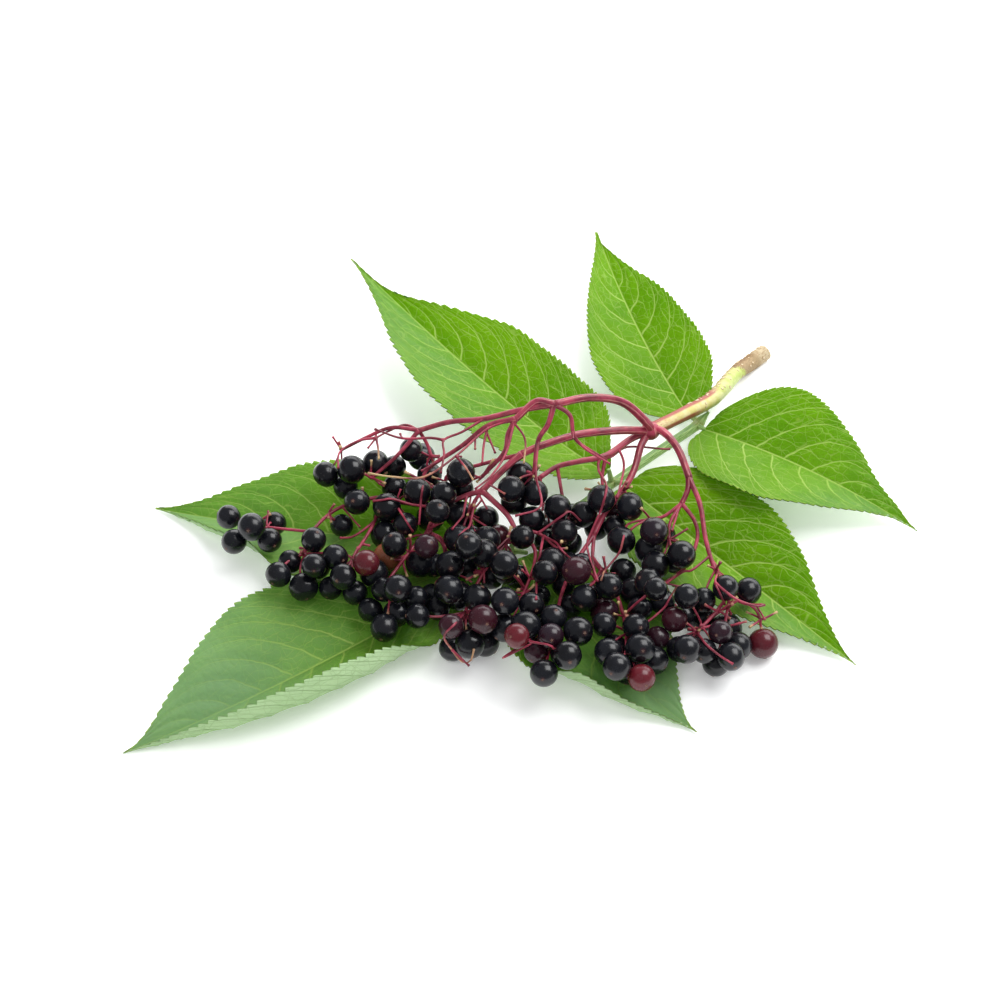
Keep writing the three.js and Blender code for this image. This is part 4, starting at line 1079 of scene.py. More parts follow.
def stalk_tubes(lines, radii, sides, ribs, swell, dry):
    """Round tubes along lines of shape (n, stations, 3). The radius goes evenly from the first to the
    second, swells near both ends, and rises and falls round the tube where it has ribs."""
    count = len(lines)
    _, side, up = courses(lines)
    steps = np.linalg.norm(np.diff(lines, axis=1), axis=2)
    reach = np.concatenate([np.zeros((count, 1)), np.cumsum(steps, axis=1)], axis=1)
    share = reach / reach[:, -1:]
    radius = mix(radii[:, :1], radii[:, 1:], share)
    root = np.exp(-((reach / (1.6 * radii[:, :1])) ** 2))
    end = np.exp(-(((reach[:, -1:] - reach) / (1.6 * radii[:, 1:])) ** 2))
    radius = radius * (1 + swell[0] * root + swell[1] * end)
    angle = np.linspace(0, 2 * math.pi, sides, endpoint=False)
    ribbed = ribs * np.sin(5 * angle + 0.05 * reach[..., None])
    round_it = radius[..., None] * (1 + ribbed * ease((radius[..., None] - 0.4) / 0.5))
    ring = (
        lines[:, :, None]
        + (round_it * np.cos(angle))[..., None] * side[:, :, None]
        + (round_it * np.sin(angle))[..., None] * up[:, :, None]
    )
    ring[..., 2] = np.minimum(ring[..., 2], TALLEST)
    shape = ring.shape[:3]
    values = {
        "course": np.stack(np.broadcast_arrays(np.cos(angle), np.sin(angle), reach[..., None]), axis=-1),
        "girth": np.broadcast_to(radius[..., None], shape),
        "dry": np.broadcast_to(dry[..., None], shape),
    }
    return tubes(ring, values)


def joint_balls(centres, radii, rings=7, sides=12):
    """Small round knobs, as globes with rings at even angles from pole to pole."""
    polar = (np.arange(rings) + 0.5) / rings * math.pi
    angle = np.linspace(0, 2 * math.pi, sides, endpoint=False)
    globe = np.stack(
        np.broadcast_arrays(
            np.sin(polar)[:, None] * np.cos(angle),
            np.sin(polar)[:, None] * np.sin(angle),
            -np.cos(polar)[:, None],
        ),
        axis=-1,
    )
    points = centres[:, None, None] + radii[:, None, None, None] * globe
    shape = points.shape[:3]
    values = {
        "course": np.broadcast_to(globe, points.shape),
        "girth": np.broadcast_to(radii[:, None, None], shape),
        "dry": np.zeros(shape),
    }
    return tubes(points, values)


# ---- Berries ------------------------------------------------------------------------------------
SEED = 777
HEAP_ROUNDS = 60
LOOSE_ROUNDS = 20  # the last of them, in which nothing pulls a berry back
HEAP_PULL = 0.04  # how much of the way back to its place in the heap a berry moves in a round
LEAF_POINT = 0.95  # a leaflet is felt as points of this radius, close together
LIFTED_WITHIN = 3.0  # a berry starts above whatever leaflet is this near, seen from above,
LIFT = 0.7  # by this much
FELT_WITHIN = 13.0  # of a berry's place, anything further off can't touch it
STALK_STEPS = 3  # between two points of a route, where berries are kept off it
# Of the rest of the berries, while places for them are tried:
MORE_RADIUS = 3.2
MORE_HEIGHTS = np.arange(3.4, 26, 0.4)
MORE_ASIDE = (0, -4, 4, -8, 8)  # pixels
MORE_BLADES_WITHIN = 40.0  # pixels: a blade further off can't touch the berry
MORE_CARRIER = 0.75  # a stalk has to be thinner than this to carry one
MORE_SHORTEST = 4.6  # from the stalk that carries it to the berry's centre
MORE_LONGEST = 13.0
FRONT = 600  # pixels from the picture's top: below this,
MORE_LONGEST_FRONT = 16.0  # this is the longest
MORE_LONG = 7.0  # past this, a longer one counts against a place
ENOUGH_ROOM = 0.15
BLADE_GAP = 0.2  # more than that from a leaflet
IN_FRONT = 2.0  # nearer to the camera by this, a berry is in front
HIDING_SHARE = 0.7  # of a berry's radius: what passes this near its centre counts as hidden by it
# What counts for a place, for every millimetre of room, and against it, for every pixel aside, every
# millimetre of height and of a long stalk, and for being hidden.
ROOM_COUNTS, ASIDE_COUNTS, HEIGHT_COUNTS, LONG_COUNTS, HIDDEN_COUNTS = 10.0, 0.125, 0.06, 0.12, 2.0


def drawer(seed):
    """A repeatable draw between 0 and 1: each is the last one times 16807, less whole turns."""
    state = seed
    while True:
        state = (state * 16807) % 2147483647
        yield state / 2147483647


def scatter(count, draw):
    """Round a point, spread evenly over a small ball."""
    places = []
    for k in range(count):
        z = 1 - (2 * k + 1) / count
        ring = math.sqrt(1 - z * z)
        x = 2 * next(draw) - 1
        y = 2 * next(draw) - 1
        turn = math.sqrt(x * x + y * y) + 0.001
        size = 2.2 + 1.6 * next(draw)
        places.append((ring * size * x / turn, ring * size * y / turn, z * size))
    return places


def push_off(at, radius, centres, radii):
    """Moves one berry off each ball that it touches, in their order, each time straight away from it."""
    needed = radius + radii + BERRY_GAP
    start = 0
    while True:
        line = at - centres[start:]
        apart = np.sqrt((line * line).sum(axis=1))
        touching = np.flatnonzero((apart < needed[start:]) & (apart > 0))
        if not len(touching):
            return at
        k = touching[0]
        at = at + line[k] * ((needed[start + k] - apart[k]) / apart[k])
        start += k + 1


def push_apart(at, radii):
    """Each berry in turn and those before it that it touches share the way they have to move apart."""
    for i in range(1, len(at)):
        start = 0
        while start < i:
            line = at[i] - at[start:i]
            apart = np.sqrt((line * line).sum(axis=1))
            needed = radii[i] + radii[start:i] + BERRY_GAP
            touching = np.flatnonzero((apart < needed) & (apart > 0))
            if not len(touching):
                break
            k = touching[0]
            push = line[k] * ((needed[k] - apart[k]) / apart[k] / 2)
            at[i] = at[i] + push
            at[start + k] = at[start + k] - push
            start += k + 1


def felt_balls():
    """What berries are kept off, as balls: the stalks, the leaf's stalk and the leaflets' upper faces.
    The points of those faces are given on their own too."""
    centres, radii = [], []
    for ray in RAYS.values():
        for (thick, _), route in ray["stalks"]:
            line = through(route, STALK_STEPS)
            centres.append(line)
            radii.append(np.full(len(line), thick))
    line = through(LEAF_STALK[1], 8)
    centres.append(line)
    radii.append(np.full(len(line), LEAF_STALK[0][0]))
    blades = np.floor(blade_points(37, 7) * 100 + 0.5) / 100
    centres.append(blades)
    radii.append(np.full(len(blades), LEAF_POINT))
    return np.vstack(centres), np.concatenate(radii), blades


def stalk_stations():
    """Points along every stalk, the radius there, and the ray that each belongs to."""
    points, radii, owners = [], [], []
    for name, ray in RAYS.items():
        for (thick, thin), route in ray["stalks"]:
            line = through(route, 8)
            points.append(line)
            radii.append(np.linspace(thick, thin, len(line)))
            owners += [name] * len(line)
    return np.vstack(points), np.concatenate(radii), owners


def more_places(berries_at, berries_radii):
    """A place for each of the rest of the berries, as (ray, tip, place), ray by ray. At each of their
    pixels, many heights and small ways aside are tried. The best has room, shows, lies low, is near its
    pixel and isn't far from a thin stalk. Places and tips are rounded to half millimetres."""
    centres, sizes = berries_at, berries_radii + BERRY_SWELL
    size = MORE_RADIUS + BERRY_SWELL
    height, right, down = np.meshgrid(MORE_HEIGHTS, MORE_ASIDE, MORE_ASIDE, indexing="ij")
    moved = np.stack([right.ravel(), down.ravel()], axis=-1)
    height = height.ravel()
    places = []
    for pixel in MORE:
        tried = seen_at(np.add(pixel, moved), height)
        blades = blade_skin[distances(pixel, blade_pixels) < MORE_BLADES_WITHIN]
        from_stalks = distances(tried, stalk_points)
        rooms = [
            (distances(tried, centres) - sizes).min(axis=1),
            (from_stalks - stalk_radii).min(axis=1),
            (distances(tried, blades) - BLADE_GAP).min(axis=1, initial=MORE_BLADES_WITHIN),
            tried[:, 2],
        ]
        room = np.minimum.reduce(rooms) - size
        sights = tried - EYE
        ahead = unit(sights) @ (centres - EYE).T
        aside = np.linalg.norm(centres - EYE - ahead[..., None] * unit(sights)[:, None], axis=-1)
        before = ahead < np.linalg.norm(sights, axis=-1, keepdims=True) - IN_FRONT
        hidden = (before & (aside < HIDING_SHARE * sizes)).any(axis=1)
        longest = MORE_LONGEST_FRONT if pixel[1] > FRONT else MORE_LONGEST
        carries = (stalk_radii < MORE_CARRIER) & (from_stalks > MORE_SHORTEST) & (from_stalks < longest)
        reach = np.where(carries, from_stalks, np.inf)
        long = np.maximum(reach.min(axis=1) - MORE_LONG, 0.0)
        good = np.minimum(room, ENOUGH_ROOM) * ROOM_COUNTS - np.hypot(*moved.T) * ASIDE_COUNTS
        good = good - HEIGHT_COUNTS * height - HIDDEN_COUNTS * hidden - LONG_COUNTS * long
        best = good.argmax()
        carrier = reach[best].argmin()
        spot, tip = np.round(np.stack([tried[best], stalk_points[carrier]]) * 2) / 2
        places.append((stalk_owners[carrier], tip, spot))
        centres = np.vstack([centres, spot])
        sizes = np.append(sizes, size)
    return sorted(places, key=lambda one: list(RAYS).index(one[0]))


def place_berries():
    """Each head is scattered round its heap, then all berries are pushed apart in turn, kept within reach
    of the tip that carries them, off the stalks, the leaflets and the table. The rest of the berries are
    then added one by one, pushed off those that are there."""
    draw = drawer(SEED)
    rays, heads, tips, radii, homes = [], [], [], [], []
    for name, ray in RAYS.items():
        for count, tip, heap in ray["heads"]:
            head = (heads[-1] + 1) if heads else 0
            for offset in scatter(count, draw):
                rays.append(name)
                heads.append(head)
                tips.append(tip)
                radii.append(BERRY_RADIUS + BERRY_SPREAD * (2 * next(draw) - 1))
                homes.append(np.array(heap, float) + offset)
    heads, tips, radii, homes = (np.array(a, float) for a in (heads, tips, radii, homes))
    near = []
    for k, home in enumerate(homes):
        below = ((felt_blades[:, :2] - home[:2]) ** 2).sum(axis=1) < LIFTED_WITHIN**2
        if below.any():
            home[2] = max(home[2], felt_blades[below, 2].max() + radii[k] + LIFT)
        close = np.sqrt(((felt - home) ** 2).sum(axis=1)) < FELT_WITHIN
        near.append((felt[close], felt_sizes[close]))
    at = homes.copy()
    for turn in range(HEAP_ROUNDS):
        at = at + (homes - at) * (HEAP_PULL if turn < HEAP_ROUNDS - LOOSE_ROUNDS else 0.0)
        push_apart(at, radii)
        for k in range(len(at)):
            other = heads != heads[k]
            points = tips[other, None] + (at[other] - tips[other])[:, None] * PEDICEL_SHARES[:, None]
            points = points.reshape(-1, 3)
            place_now = push_off(at[k], radii[k], points, np.full(len(points), PEDICEL_FELT))
            place_now = push_off(place_now, radii[k], *near[k])
            line = place_now - tips[k]
            reach = np.sqrt((line * line).sum())
            place_now = tips[k] + line * (np.clip(reach, PEDICEL_SHORTEST, PEDICEL_LONGEST) / reach)
            place_now[2] = max(place_now[2], radii[k] + 0.02)
            at[k] = place_now
    for name, tip, place_now in more_places(at, radii):
        radius = BERRY_RADIUS + BERRY_SPREAD * (2 * next(draw) - 1)
        place_now = push_off(place_now, radius, felt, felt_sizes)
        place_now = push_off(place_now, radius, at, radii)
        place_now[2] = max(place_now[2], radius + 0.02)
        rays.append(name)
        tips = np.vstack([tips, tip])
        at = np.vstack([at, place_now])
        radii = np.append(radii, radius)
    return {"ray": np.array(rays), "tip": tips, "radius": radii, "at": at}


felt, felt_sizes, felt_blades = felt_balls()
stalk_points, stalk_radii, stalk_owners = stalk_stations()
blade_skin = blade_points(73, 14)
blade_pixels = shown(blade_skin)
berries = place_berries()

BERRY_SIDES = 30
SCAR_RADIUS = 0.12  # of the scar, as an angle at the berry's middle
POLAR = np.concatenate([np.linspace(0.02, 0.26, 8), np.linspace(0.36, 3.08, 15)])


def berry_surfaces(centres, axes, radii, ripeness, draw):
    """Each berry is a globe with its scar at the pole that its axis points to: a little longer or shorter
    than round, dented at the stalk, with low waves over it and a raised star of five points on the
    scar."""
    count = len(centres)
    angle = np.linspace(0, 2 * math.pi, BERRY_SIDES, endpoint=False)[None, None, :]
    polar = POLAR[None, :, None]
    turn = draw.uniform(0, 2 * math.pi, (count, 1, 1))
    waves = draw.uniform(0.0, 0.012, (count, 1, 1))
    stretch = draw.uniform(-0.035, 0.045, (count, 1, 1))
    points_of_star = draw.uniform(0.75, 1.1, (count, 1, 1)) * SCAR_RADIUS
    star_edge = points_of_star * (0.62 + 0.38 * np.cos(5 * (angle + turn)))
    star = 1 - ease((polar - star_edge + 0.03) / 0.05)
    eye = 1 - ease((polar - 0.045) / 0.03)
    size = 1 + stretch * np.cos(polar) ** 2
    size = size + waves * (np.sin(2 * angle + turn) * np.sin(polar) ** 2 + np.cos(3 * polar + turn))
    size = size - 0.05 * np.exp(-(((math.pi - polar) / 0.3) ** 2))
    size = size - 0.022 * np.exp(-((polar / 0.42) ** 2))
    size = size + 0.036 * star - 0.02 * eye
    around = np.where(np.abs(axes[:, 2:]) > 0.9, [0.0, 1.0, 0.0], [0.0, 0.0, 1.0])
    side = unit(np.cross(around, axes))
    up = np.cross(axes, side)
    flat = size * np.sin(polar)
    along = size * np.cos(polar) + 0 * angle
    globe = (
        (flat * np.cos(angle))[..., None] * side[:, None, None]
        + (flat * np.sin(angle))[..., None] * up[:, None, None]
        + along[..., None] * axes[:, None, None]
    )
    points = centres[:, None, None] + radii[:, None, None, None] * globe
    shape = points.shape[:3]
    across = polar * np.cos(angle + turn)
    place_on = np.stack([across, polar * np.sin(angle + turn), np.zeros_like(across)], axis=-1)
    values = {
        "scar_place": place_on,
        "ripeness": np.broadcast_to(ripeness[:, None, None], shape),
        "scar": np.broadcast_to(star * (1 - 0.6 * eye), shape),
    }
    # The rings run from the scar to the stalk, so they are turned round for faces that point outwards.
    return tubes(points[:, ::-1], {name: array[:, ::-1] for name, array in values.items()})


# ---- The head -----------------------------------------------------------------------------------
STATIONS = 36  # rings along a stalk
BARE_STATIONS = 24
PEDICEL_STATIONS = 9
STALK_SIDES = 16
THIN_SIDES = 8  # of bare stalks and of those that carry a berry
STALK_RIBS = 0.04  # share of the radius by which a thick stalk's ribs stand out
STALK_SWELL = (0.18, 0.08)  # shares of the radius by which a stalk is thicker at its two ends
BARE_SWELL = (0.45, 0.5)
PEDICEL_SWELL = (0.3, 0.45)
STALK_DRY = 0.1
BARE_PER_HEAD = 3  # little stalks at each head that have lost their berry
BARE_LENGTH = (2.0, 5.5)
BARE_TRIES = 12
CLEAR_OF_BERRY = 0.45
CLEAR_OF_BLADE = 1.4
SEAT = 0.93  # share of a berry's radius at which its stalk ends
RAISED = 1.04  # share of a berry's radius that its centre is above the table at least
# Of each kind of bare stalk, the radii at both ends and how dry it is.
BARE_KINDS = {"twiglet": ((0.44, 0.3), 0.1), "stub": ((0.34, 0.28), 0.35), "dry": ((0.4, 0.27), 0.75)}
BARE_SLIMMER = 0.82  # factor on those radii, which the clearances below are worked out with
BARE_GAP = 0.15  # left to a berry behind,
BARE_BLADE_GAP = 0.3  # to a leaflet within the next number of pixels,
BARE_BLADE_WITHIN = 7.0
BARE_TABLE_GAP = 0.1  # and to the table
BARE_SINK = 0.04  # millimetres for every pixel from its first
BARE_LOWEST = 3.0
BARE_CLIMB = 6.5  # a bare stalk ends before it would rise by this
BARE_ARCH = 7.0  # the most that it rises half way between two pixels
BARE_ARCH_LEAST = 0.3  # and the least
JOINED_WITHIN = 4.0  # pixels from a point of another bare stalk
ON_STALK = 3.0  # pixels: nearer than this to a stalk, it leaves that one instead
BY_STALK = 8.0  # pixels: further than this from any stalk, it goes through its first pixel too
SHOWN_WITHIN = 9.0  # pixels between two berries, for the one in front to hide the other
SOLID_BERRIES = sum(count for ray in RAYS.values() for count, _, _ in ray["heads"])


def least_height(pixel, radius):
    """The least height at which a stalk this thick, at this pixel, is clear of the table and the leaflets
    and passes in front of the berries that the solid part has too."""
    way = unit(sight(pixel))
    line = berries["at"][:SOLID_BERRIES] - EYE
    ahead = line @ way
    aside = np.linalg.norm(line - ahead[:, None] * way, axis=1)
    needed = berries["radius"][:SOLID_BERRIES] + radius + BARE_GAP
    met = aside < needed
    front = ahead[met] - np.sqrt(needed[met] ** 2 - aside[met] ** 2)
    blades = blade_skin[distances(pixel, blade_pixels) < BARE_BLADE_WITHIN, 2]
    heights = [EYE[2] + front * way[2], blades + radius + BARE_BLADE_GAP, [radius + BARE_TABLE_GAP]]
    return np.concatenate(heights).max()


def bare_routes():
    """The bare stalks of each ray, as (radii, dryness, route). Each leaves the nearest stalk, or the
    nearest point of a bare stalk before it. It sinks a little with every pixel, keeps in front of what it
    would run into, and ends where it would have to climb for that. Routes are rounded to tenths."""
    stalk_pixels = shown(stalk_points)
    joints = {}
    routes = {name: [] for name in RAYS}
    for kind, *pixels in BARE:
        radii, dryness = BARE_KINDS[kind]
        first = pixels[0]
        away = distances(first, stalk_pixels)
        start, name = stalk_points[away.argmin()], stalk_owners[away.argmin()]
        near = [pixel for pixel in joints if math.dist(pixel, first) < JOINED_WITHIN]
        if near and away.min() > ON_STALK:
            start, name = joints[min(near, key=lambda pixel: math.dist(pixel, first))]
        points = [start]
        for pixel in pixels[1:] if near or away.min() <= BY_STALK else pixels:
            least = least_height(pixel, radii[0])
            if least > start[2] + BARE_CLIMB:
                break
            sunk = start[2] - BARE_SINK * math.dist(pixel, first)
            points.append(seen_at(pixel, max(sunk, BARE_LOWEST, least)))
        route = [start]
        for before, after in zip(points, points[1:]):
            middle = (before + after) / 2
            pixel = shown(middle)
            least = least_height(pixel, radii[0])
            if middle[2] < least - BARE_ARCH_LEAST and least < start[2] + BARE_ARCH:
                route.append(seen_at(pixel, least))
            route.append(after)
        joints.update((pixel, (point, name)) for pixel, point in zip(pixels, points))
        routes[name].append((radii, dryness, np.round(route, 1)))
    return routes


def ripenesses():
    """How ripe each berry is: 1, or as given for the one that shows nearest to a pixel of UNRIPE. A berry
    close behind another one doesn't show."""
    places = shown(berries["at"])
    depth = (berries["at"] - EYE) @ FORWARD
    behind = (distances(places, places) < SHOWN_WITHIN) & (depth < depth[:, None] - IN_FRONT)
    ripe = np.ones(len(places))
    for pixel, value in UNRIPE.items():
        away = np.where(behind.any(axis=1), np.inf, distances(pixel, places))
        ripe[away.argmin()] = value
    return ripe


def bowed(start, end, sideways, arrive, stations):
    """Lines from start to end, leaving towards the middle moved sideways and arriving along a direction:
    a Bezier curve of the third degree."""
    span = np.linalg.norm(end - start, axis=-1, keepdims=True)
    p1 = start + (end - start) * 0.33 + sideways
    p2 = end - arrive * span * 0.34
    t = np.linspace(0, 1, stations)[None, :, None]
    p0, p1, p2, p3 = (p[:, None] for p in (start, p1, p2, end))
    return (1 - t) ** 3 * p0 + 3 * t * (1 - t) ** 2 * p1 + 3 * t * t * (1 - t) * p2 + t**3 * p3


def bare_pedicels(tips, draw):
    """Short bowed stalks out of the branch tips. Each is drawn again until it is clear of every berry and
    of the leaflets, or left out."""
    lines = []
    for tip in tips:
        for _ in range(BARE_PER_HEAD):
            for _ in range(BARE_TRIES):
                way = unit(draw.normal(size=3) + (0, 0, 0.25))
                end = tip + way * draw.uniform(*BARE_LENGTH)
                bow = np.cross(way, unit(draw.normal(size=3))) * 0.5
                line = bowed(tip[None], end[None], bow[None], way[None], PEDICEL_STATIONS)[0]
                free = line[3:, None]
                to_berry = np.linalg.norm(free - berries["at"], axis=2) - berries["radius"]
                to_blade = np.linalg.norm(free - felt_blades, axis=2)
                if to_berry.min() > CLEAR_OF_BERRY and to_blade.min() > CLEAR_OF_BLADE:
                    lines.append(line)
                    break
    return np.array(lines).reshape(-1, PEDICEL_STATIONS, 3)


bare_stalks = bare_routes()
ripeness = ripenesses()


def ray(name, number):
    """One ray: its stalks with a knob at each fork, its berries and their little stalks."""
    draw = np.random.default_rng(1000 + number)
    routes = RAYS[name]["stalks"]
    knob = TWIG[1][-1]
    lines = [through([knob, *route] if k == 0 else route, 8) for k, (_, route) in enumerate(routes)]
    lines = np.array([even(line, STATIONS) for line in lines])
    radii = np.array([r for r, _ in routes])
    dry = np.full(lines.shape[:2], STALK_DRY)
    surfaces = [stalk_tubes(lines, radii, STALK_SIDES, STALK_RIBS, STALK_SWELL, dry)]
    bare = np.array([even(through(route, 8), BARE_STATIONS) for _, _, route in bare_stalks[name]])
    dryness = np.array([[dryness] for _, dryness, _ in bare_stalks[name]])
    dry = mix(0.3, 1.0, np.linspace(0, 1, BARE_STATIONS)) * dryness
    dry = dry * draw.uniform(0.8, 1.2, dryness.shape)
    thin = np.array([radii for radii, _, _ in bare_stalks[name]]) * BARE_SLIMMER
    surfaces.append(stalk_tubes(bare, thin, THIN_SIDES, 0.0, BARE_SWELL, dry))
    forks = np.array([route[-1] for _, route in routes], float)
    thick = np.array([r[1] for r, _ in routes])
    surfaces.append(joint_balls(forks, thick))

    mine = berries["ray"] == name
    tips, at = berries["tip"][mine], berries["at"][mine].copy()
    size = berries["radius"][mine] + BERRY_SWELL
    at[:, 2] = np.maximum(at[:, 2], size * RAISED)
    straight = unit(at - tips)
    tilt = np.cross(straight, unit(draw.normal(size=straight.shape)))
    axes = unit(straight + 0.3 * tilt)
    seat = at - axes * (size * SEAT)[:, None]
    bow = np.cross(straight, unit(draw.normal(size=straight.shape))) * 0.45
    stalk_lines = bowed(tips, seat, bow, axes, PEDICEL_STATIONS)
    bare = bare_pedicels(np.unique(tips, axis=0), draw)
    carrying = len(stalk_lines)
    together = np.concatenate([stalk_lines, bare])
    thin = PEDICEL_RADIUS * draw.uniform(0.85, 1.2, (len(together), 1))
    dry = np.linspace(0, 1, PEDICEL_STATIONS) ** 2 * draw.uniform(0.0, 0.8, (len(together), 1))
    dry[carrying:] += 0.25 * np.linspace(0, 1, PEDICEL_STATIONS)
    thin = np.hstack([thin * 1.1, thin])
    surfaces.append(stalk_tubes(together, thin, THIN_SIDES, 0.0, PEDICEL_SWELL, dry))
    piece(name + "_stalks", surfaces, stalk_finish, "fruit", name)

    ripe = ripeness[mine] - draw.uniform(0.0, 0.1, len(at))
    piece(name + "_berries", [berry_surfaces(at, axes, size, ripe, draw)], berry_finish, "fruit", name)


# ---- The twig and the leaf's stalk ---------------------------------------------------------------
TWIG_STATIONS = 260
TWIG_SIDES = 48
WARTS = 80  # small corky dots on the twig's skin
WARTS_END = 45.0
WART_SIZE = (0.22, 0.38)
WART_HEIGHT = 0.2
CUT_RINGS = np.array([0.3, 0.38, 0.86, 0.94])  # rings of the cut face, as shares of its radius
CUT_SUNK = np.array([0.5, 0.05, 0.0, 0.05])  # how far each lies in
CUT_KIND = np.array([1.0, 0.6, 0.5, 0.0])  # 1 for pith, about half for wood, 0 for bark


def stem_rings(line, radius, sides, squeeze):
    """Rings of a stem: radius by station, and squeeze, a factor by station and angle."""
    lines = line[None]
    _, side, up = courses(lines)
    angle = np.linspace(0, 2 * math.pi, sides, endpoint=False)
    reach = np.concatenate([[0.0], np.cumsum(np.linalg.norm(np.diff(line, axis=0), axis=1))])
    round_it = radius[:, None] * squeeze(reach[:, None], angle[None, :])
    ring = (
        line[:, None]
        + (round_it * np.cos(angle))[..., None] * side[0][:, None]
        + (round_it * np.sin(angle))[..., None] * up[0][:, None]
    )
    course = np.stack(np.broadcast_arrays(np.cos(angle), np.sin(angle), reach[:, None]), axis=-1)
    return ring[None], course[None], reach, angle


def twig():
    """A round stem, thicker at its joint and thinner towards the knob, with corky dots raised as small
    domes, and the knob as a plain globe."""
    draw = np.random.default_rng(7)
    radii, route = TWIG
    line = even(through(route, 12), TWIG_STATIONS)
    share = np.linspace(0, 1, TWIG_STATIONS)
    joint = np.exp(-(((share - 0.52) / 0.035) ** 2))
    radius = mix(radii[0], radii[1], share) * (1 + 0.06 * joint + 0.02 * np.sin(share * 21.0))
    at = draw.uniform(1.0, WARTS_END, WARTS)
    on_top = draw.uniform(size=WARTS) < 0.6
    turned = np.where(on_top, draw.normal(2.3, 0.3, WARTS), draw.uniform(0, 6.28, WARTS))
    sizes = draw.uniform(*WART_SIZE, WARTS)

    def domes(reach, angle):
        gap = np.abs((angle[..., None] - turned + math.pi) % (2 * math.pi) - math.pi) * radii[1]
        way = (reach[..., None] - at) ** 2 / 1.8 + gap**2
        return np.sqrt(np.maximum(1 - way / sizes**2, 0.0).max(axis=-1))

    def squeeze(reach, angle):
        ribs = 0.03 * np.sin(4 * angle) * ease((reach - 24) / 20)
        return 1 + ribs + WART_HEIGHT / radii[1] * domes(reach, angle)

    ring, course, reach, angle = stem_rings(line, radius, TWIG_SIDES, squeeze)
    wart = domes(reach[:, None], angle[None])[None]
    # The cut face: from its middle out, a sunken pith, then wood as far as the bark.
    middle = line[0] + unit(line[1] - line[0]) * CUT_SUNK[:, None]
    face = middle[:, None] + CUT_RINGS[:, None, None] * (ring[0, 0] - line[0])
    ring = np.concatenate([face[None], ring], axis=1)
    course = np.concatenate([np.repeat(course[:, :1], len(CUT_RINGS), axis=1), course], axis=1)
    wart = np.concatenate([np.zeros((1, len(CUT_RINGS), TWIG_SIDES)), wart], axis=1)
    cut = np.zeros(wart.shape)
    cut[:, : len(CUT_RINGS)] = CUT_KIND[:, None]
    ring[..., 2] = np.maximum(ring[..., 2], 0.0)
    values = {"course": course, "wart": wart, "cut": cut}
    piece("twig_skin", [tubes(ring, values)], twig_finish, "twig", "twig")

    knob = np.array([route[-1]], float)
    ball = joint_balls(knob, np.array([KNOB * 0.98]), 25, 40)
    piece("twig_knob", [ball], stalk_finish, "twig", "twig")


def leaf_stalk():
    """A five-ribbed stem with a groove along its upper side, thicker where leaflets join, and a short
    stalk to the base of each leaflet's midrib."""
    radii, route = LEAF_STALK
    line = even(through(route, 12), 260)
    share = np.linspace(0, 1, len(line))
    bases = np.array([leaflet["midrib"][0] for leaflet in LEAFLETS.values()], float)
    nearest = [np.linalg.norm(line - base, axis=1).argmin() for base in bases]
    joint = np.exp(-(((share[:, None] - share[nearest]) / 0.012) ** 2)).max(axis=1)
    radius = mix(radii[0], radii[1], share) * (0.98 + 0.1 * joint) * mix(0.3, 1.0, ease(share / 0.05))

    def squeeze(reach, angle):
        groove = 0.22 * np.exp(-(((angle - math.pi / 2) / 0.38) ** 2))
        return 1.02 - groove + 0.035 * np.cos(7 * (angle - math.pi / 2)) + 0 * reach

    ring, course, _, angle = stem_rings(line, radius, 40, squeeze)
    ring[..., 2] = np.maximum(ring[..., 2], 0.05)
    values = {"course": course, "joint": np.broadcast_to(joint[:, None], ring.shape[1:3])[None]}
    surfaces = [tubes(ring, values)]
    for base, k in zip(bases, nearest):
        over = unit(base - line[k])
        short = np.linspace(line[k], base + over * 1.2, 16)
        width = np.linspace(0.85, 0.55, 16)
        ring, course, _, _ = stem_rings(short, width, 20, lambda reach, angle: 1 + 0 * (reach + angle))
        ring[..., 2] = np.maximum(ring[..., 2], 0.05)
        near = np.broadcast_to(np.exp(-np.linspace(0, 2.5, 16))[:, None], ring.shape[1:3])
        surfaces.append(tubes(ring, {"course": course, "joint": near[None]}))
    piece("leaf_stalk_skin", surfaces, leaf_stalk_finish, "leaf_stalk", "leaf_stalk")


# ---- The whole ----------------------------------------------------------------------------------
leaf_finish = leaf_skin()
stalk_finish = stalk_skin()
berry_finish = berry_skin()
twig_finish = twig_skin()
leaf_stalk_finish = leaf_stalk_skin()

twig()
leaf_stalk()
for number, (name, leaflet) in enumerate(LEAFLETS.items()):
    fuller = {**leaflet, **ROLLED.get(name, {}), "margins": MARGINS[name]}
    blade = leaflet_surface(fuller, number, PAINTED_SHEEN_BY_HALF[name])
    piece(name + "_blade", [blade], leaf_finish, "leaf", name)
for number, name in enumerate(RAYS):
    ray(name, number)

# ---- Table, light and camera --------------------------------------------------------------------
TABLE_HALF = 4.0  # metres
TABLE_DROP = 0.0002  # by which it lies below the part, so that they don't share a plane
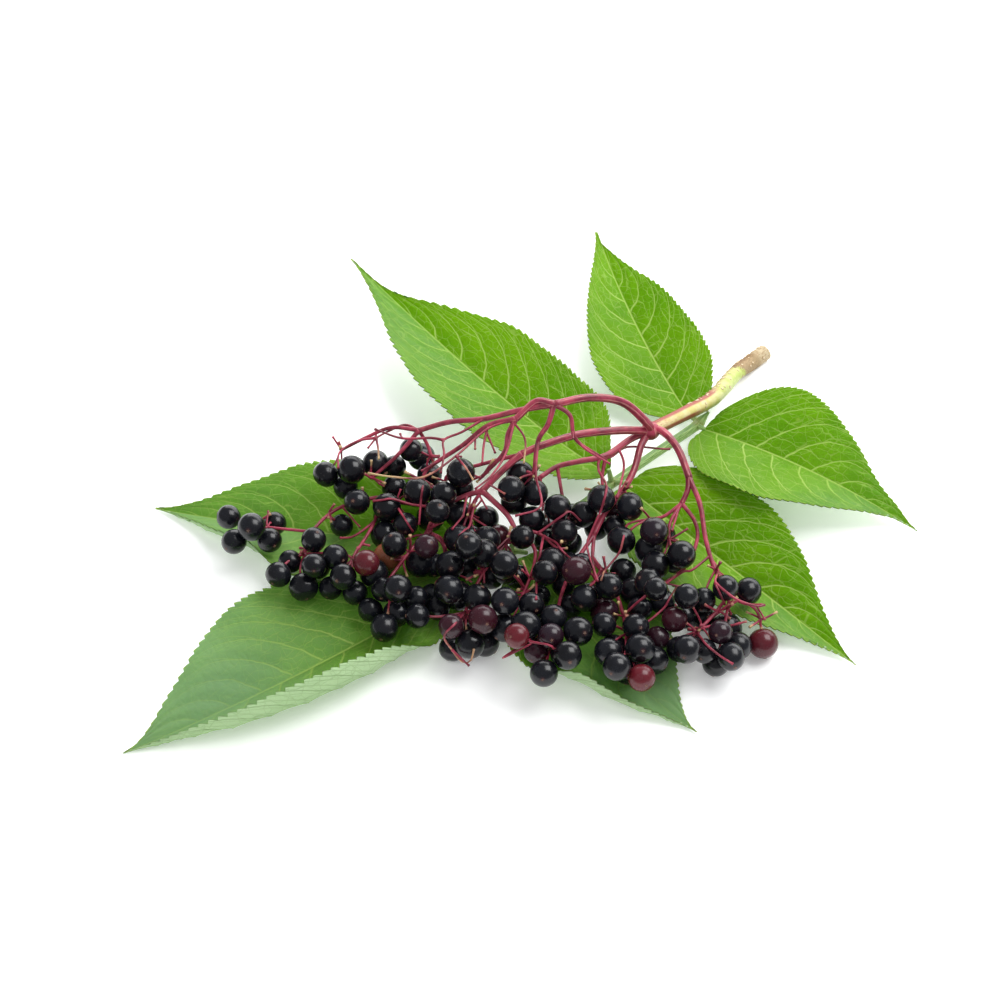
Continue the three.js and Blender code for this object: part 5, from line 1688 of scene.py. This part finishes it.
# Each lamp's place, what it points at and its size, in metres; its power; and whether it is mirrored.
LAMPS = {
    "key": ((0.43, 0.09, 0.77), (0.0, 0.0, 0.0), (0.6, 0.6), 6.5, True),
    "backdrop": ((0.40, 1.25, 0.50), (0.0, 0.0, 0.1), (2.2, 0.8), 16.0, True),
    "high back": ((0.10, 0.80, 0.75), (0.0, 0.0, 0.0), (1.0, 0.7), 8.0, False),
    "fill": ((-0.45, -0.70, 0.80), (0.0, 0.0, 0.0), (1.2, 1.2), 7.5, False),
}
DAYLIGHT = (0.97, 0.985, 1.0, 1.0)
DAYLIGHT_STRENGTH = 0.28


def table():
    mesh = bpy.data.meshes.new("table")
    h = TABLE_HALF
    mesh.from_pydata([(-h, -h, 0), (h, -h, 0), (h, h, 0), (-h, h, 0)], [], [(0, 1, 2, 3)])
    mesh.materials.append(floor_skin())
    top = bpy.data.objects.new("table", mesh)
    top.location.z = -TABLE_DROP
    bpy.context.scene.collection.objects.link(top)


def lamp(name, at, towards, size, power, mirrored):
    light = bpy.data.lights.new(name, "AREA")
    light.shape = "RECTANGLE"
    light.size, light.size_y = size
    light.energy = power
    holder = bpy.data.objects.new(name, light)
    holder.location = at
    way = np.subtract(towards, at)
    holder.rotation_mode = "QUATERNION"
    holder.rotation_quaternion = Vector(way).to_track_quat("-Z", "Y")
    holder.visible_glossy = mirrored
    bpy.context.scene.collection.objects.link(holder)


def daylight():
    world = bpy.data.worlds.new("daylight")
    world.use_nodes = True
    background = world.node_tree.nodes["Background"]
    background.inputs["Color"].default_value = DAYLIGHT
    background.inputs["Strength"].default_value = DAYLIGHT_STRENGTH
    bpy.context.scene.world = world


def camera():
    lens = bpy.data.cameras.new("camera")
    lens.lens = LENS
    lens.sensor_width = SENSOR
    holder = bpy.data.objects.new("camera", lens)
    holder.location = place(EYE)
    holder.rotation_euler = (math.pi / 2 - CAMERA_RISE, 0.0, 0.0)
    bpy.context.scene.collection.objects.link(holder)
    bpy.context.scene.camera = holder


table()
for name, settings in LAMPS.items():
    lamp(name, *settings)
daylight()
bpy.context.scene.view_settings.view_transform = "Standard"
camera()
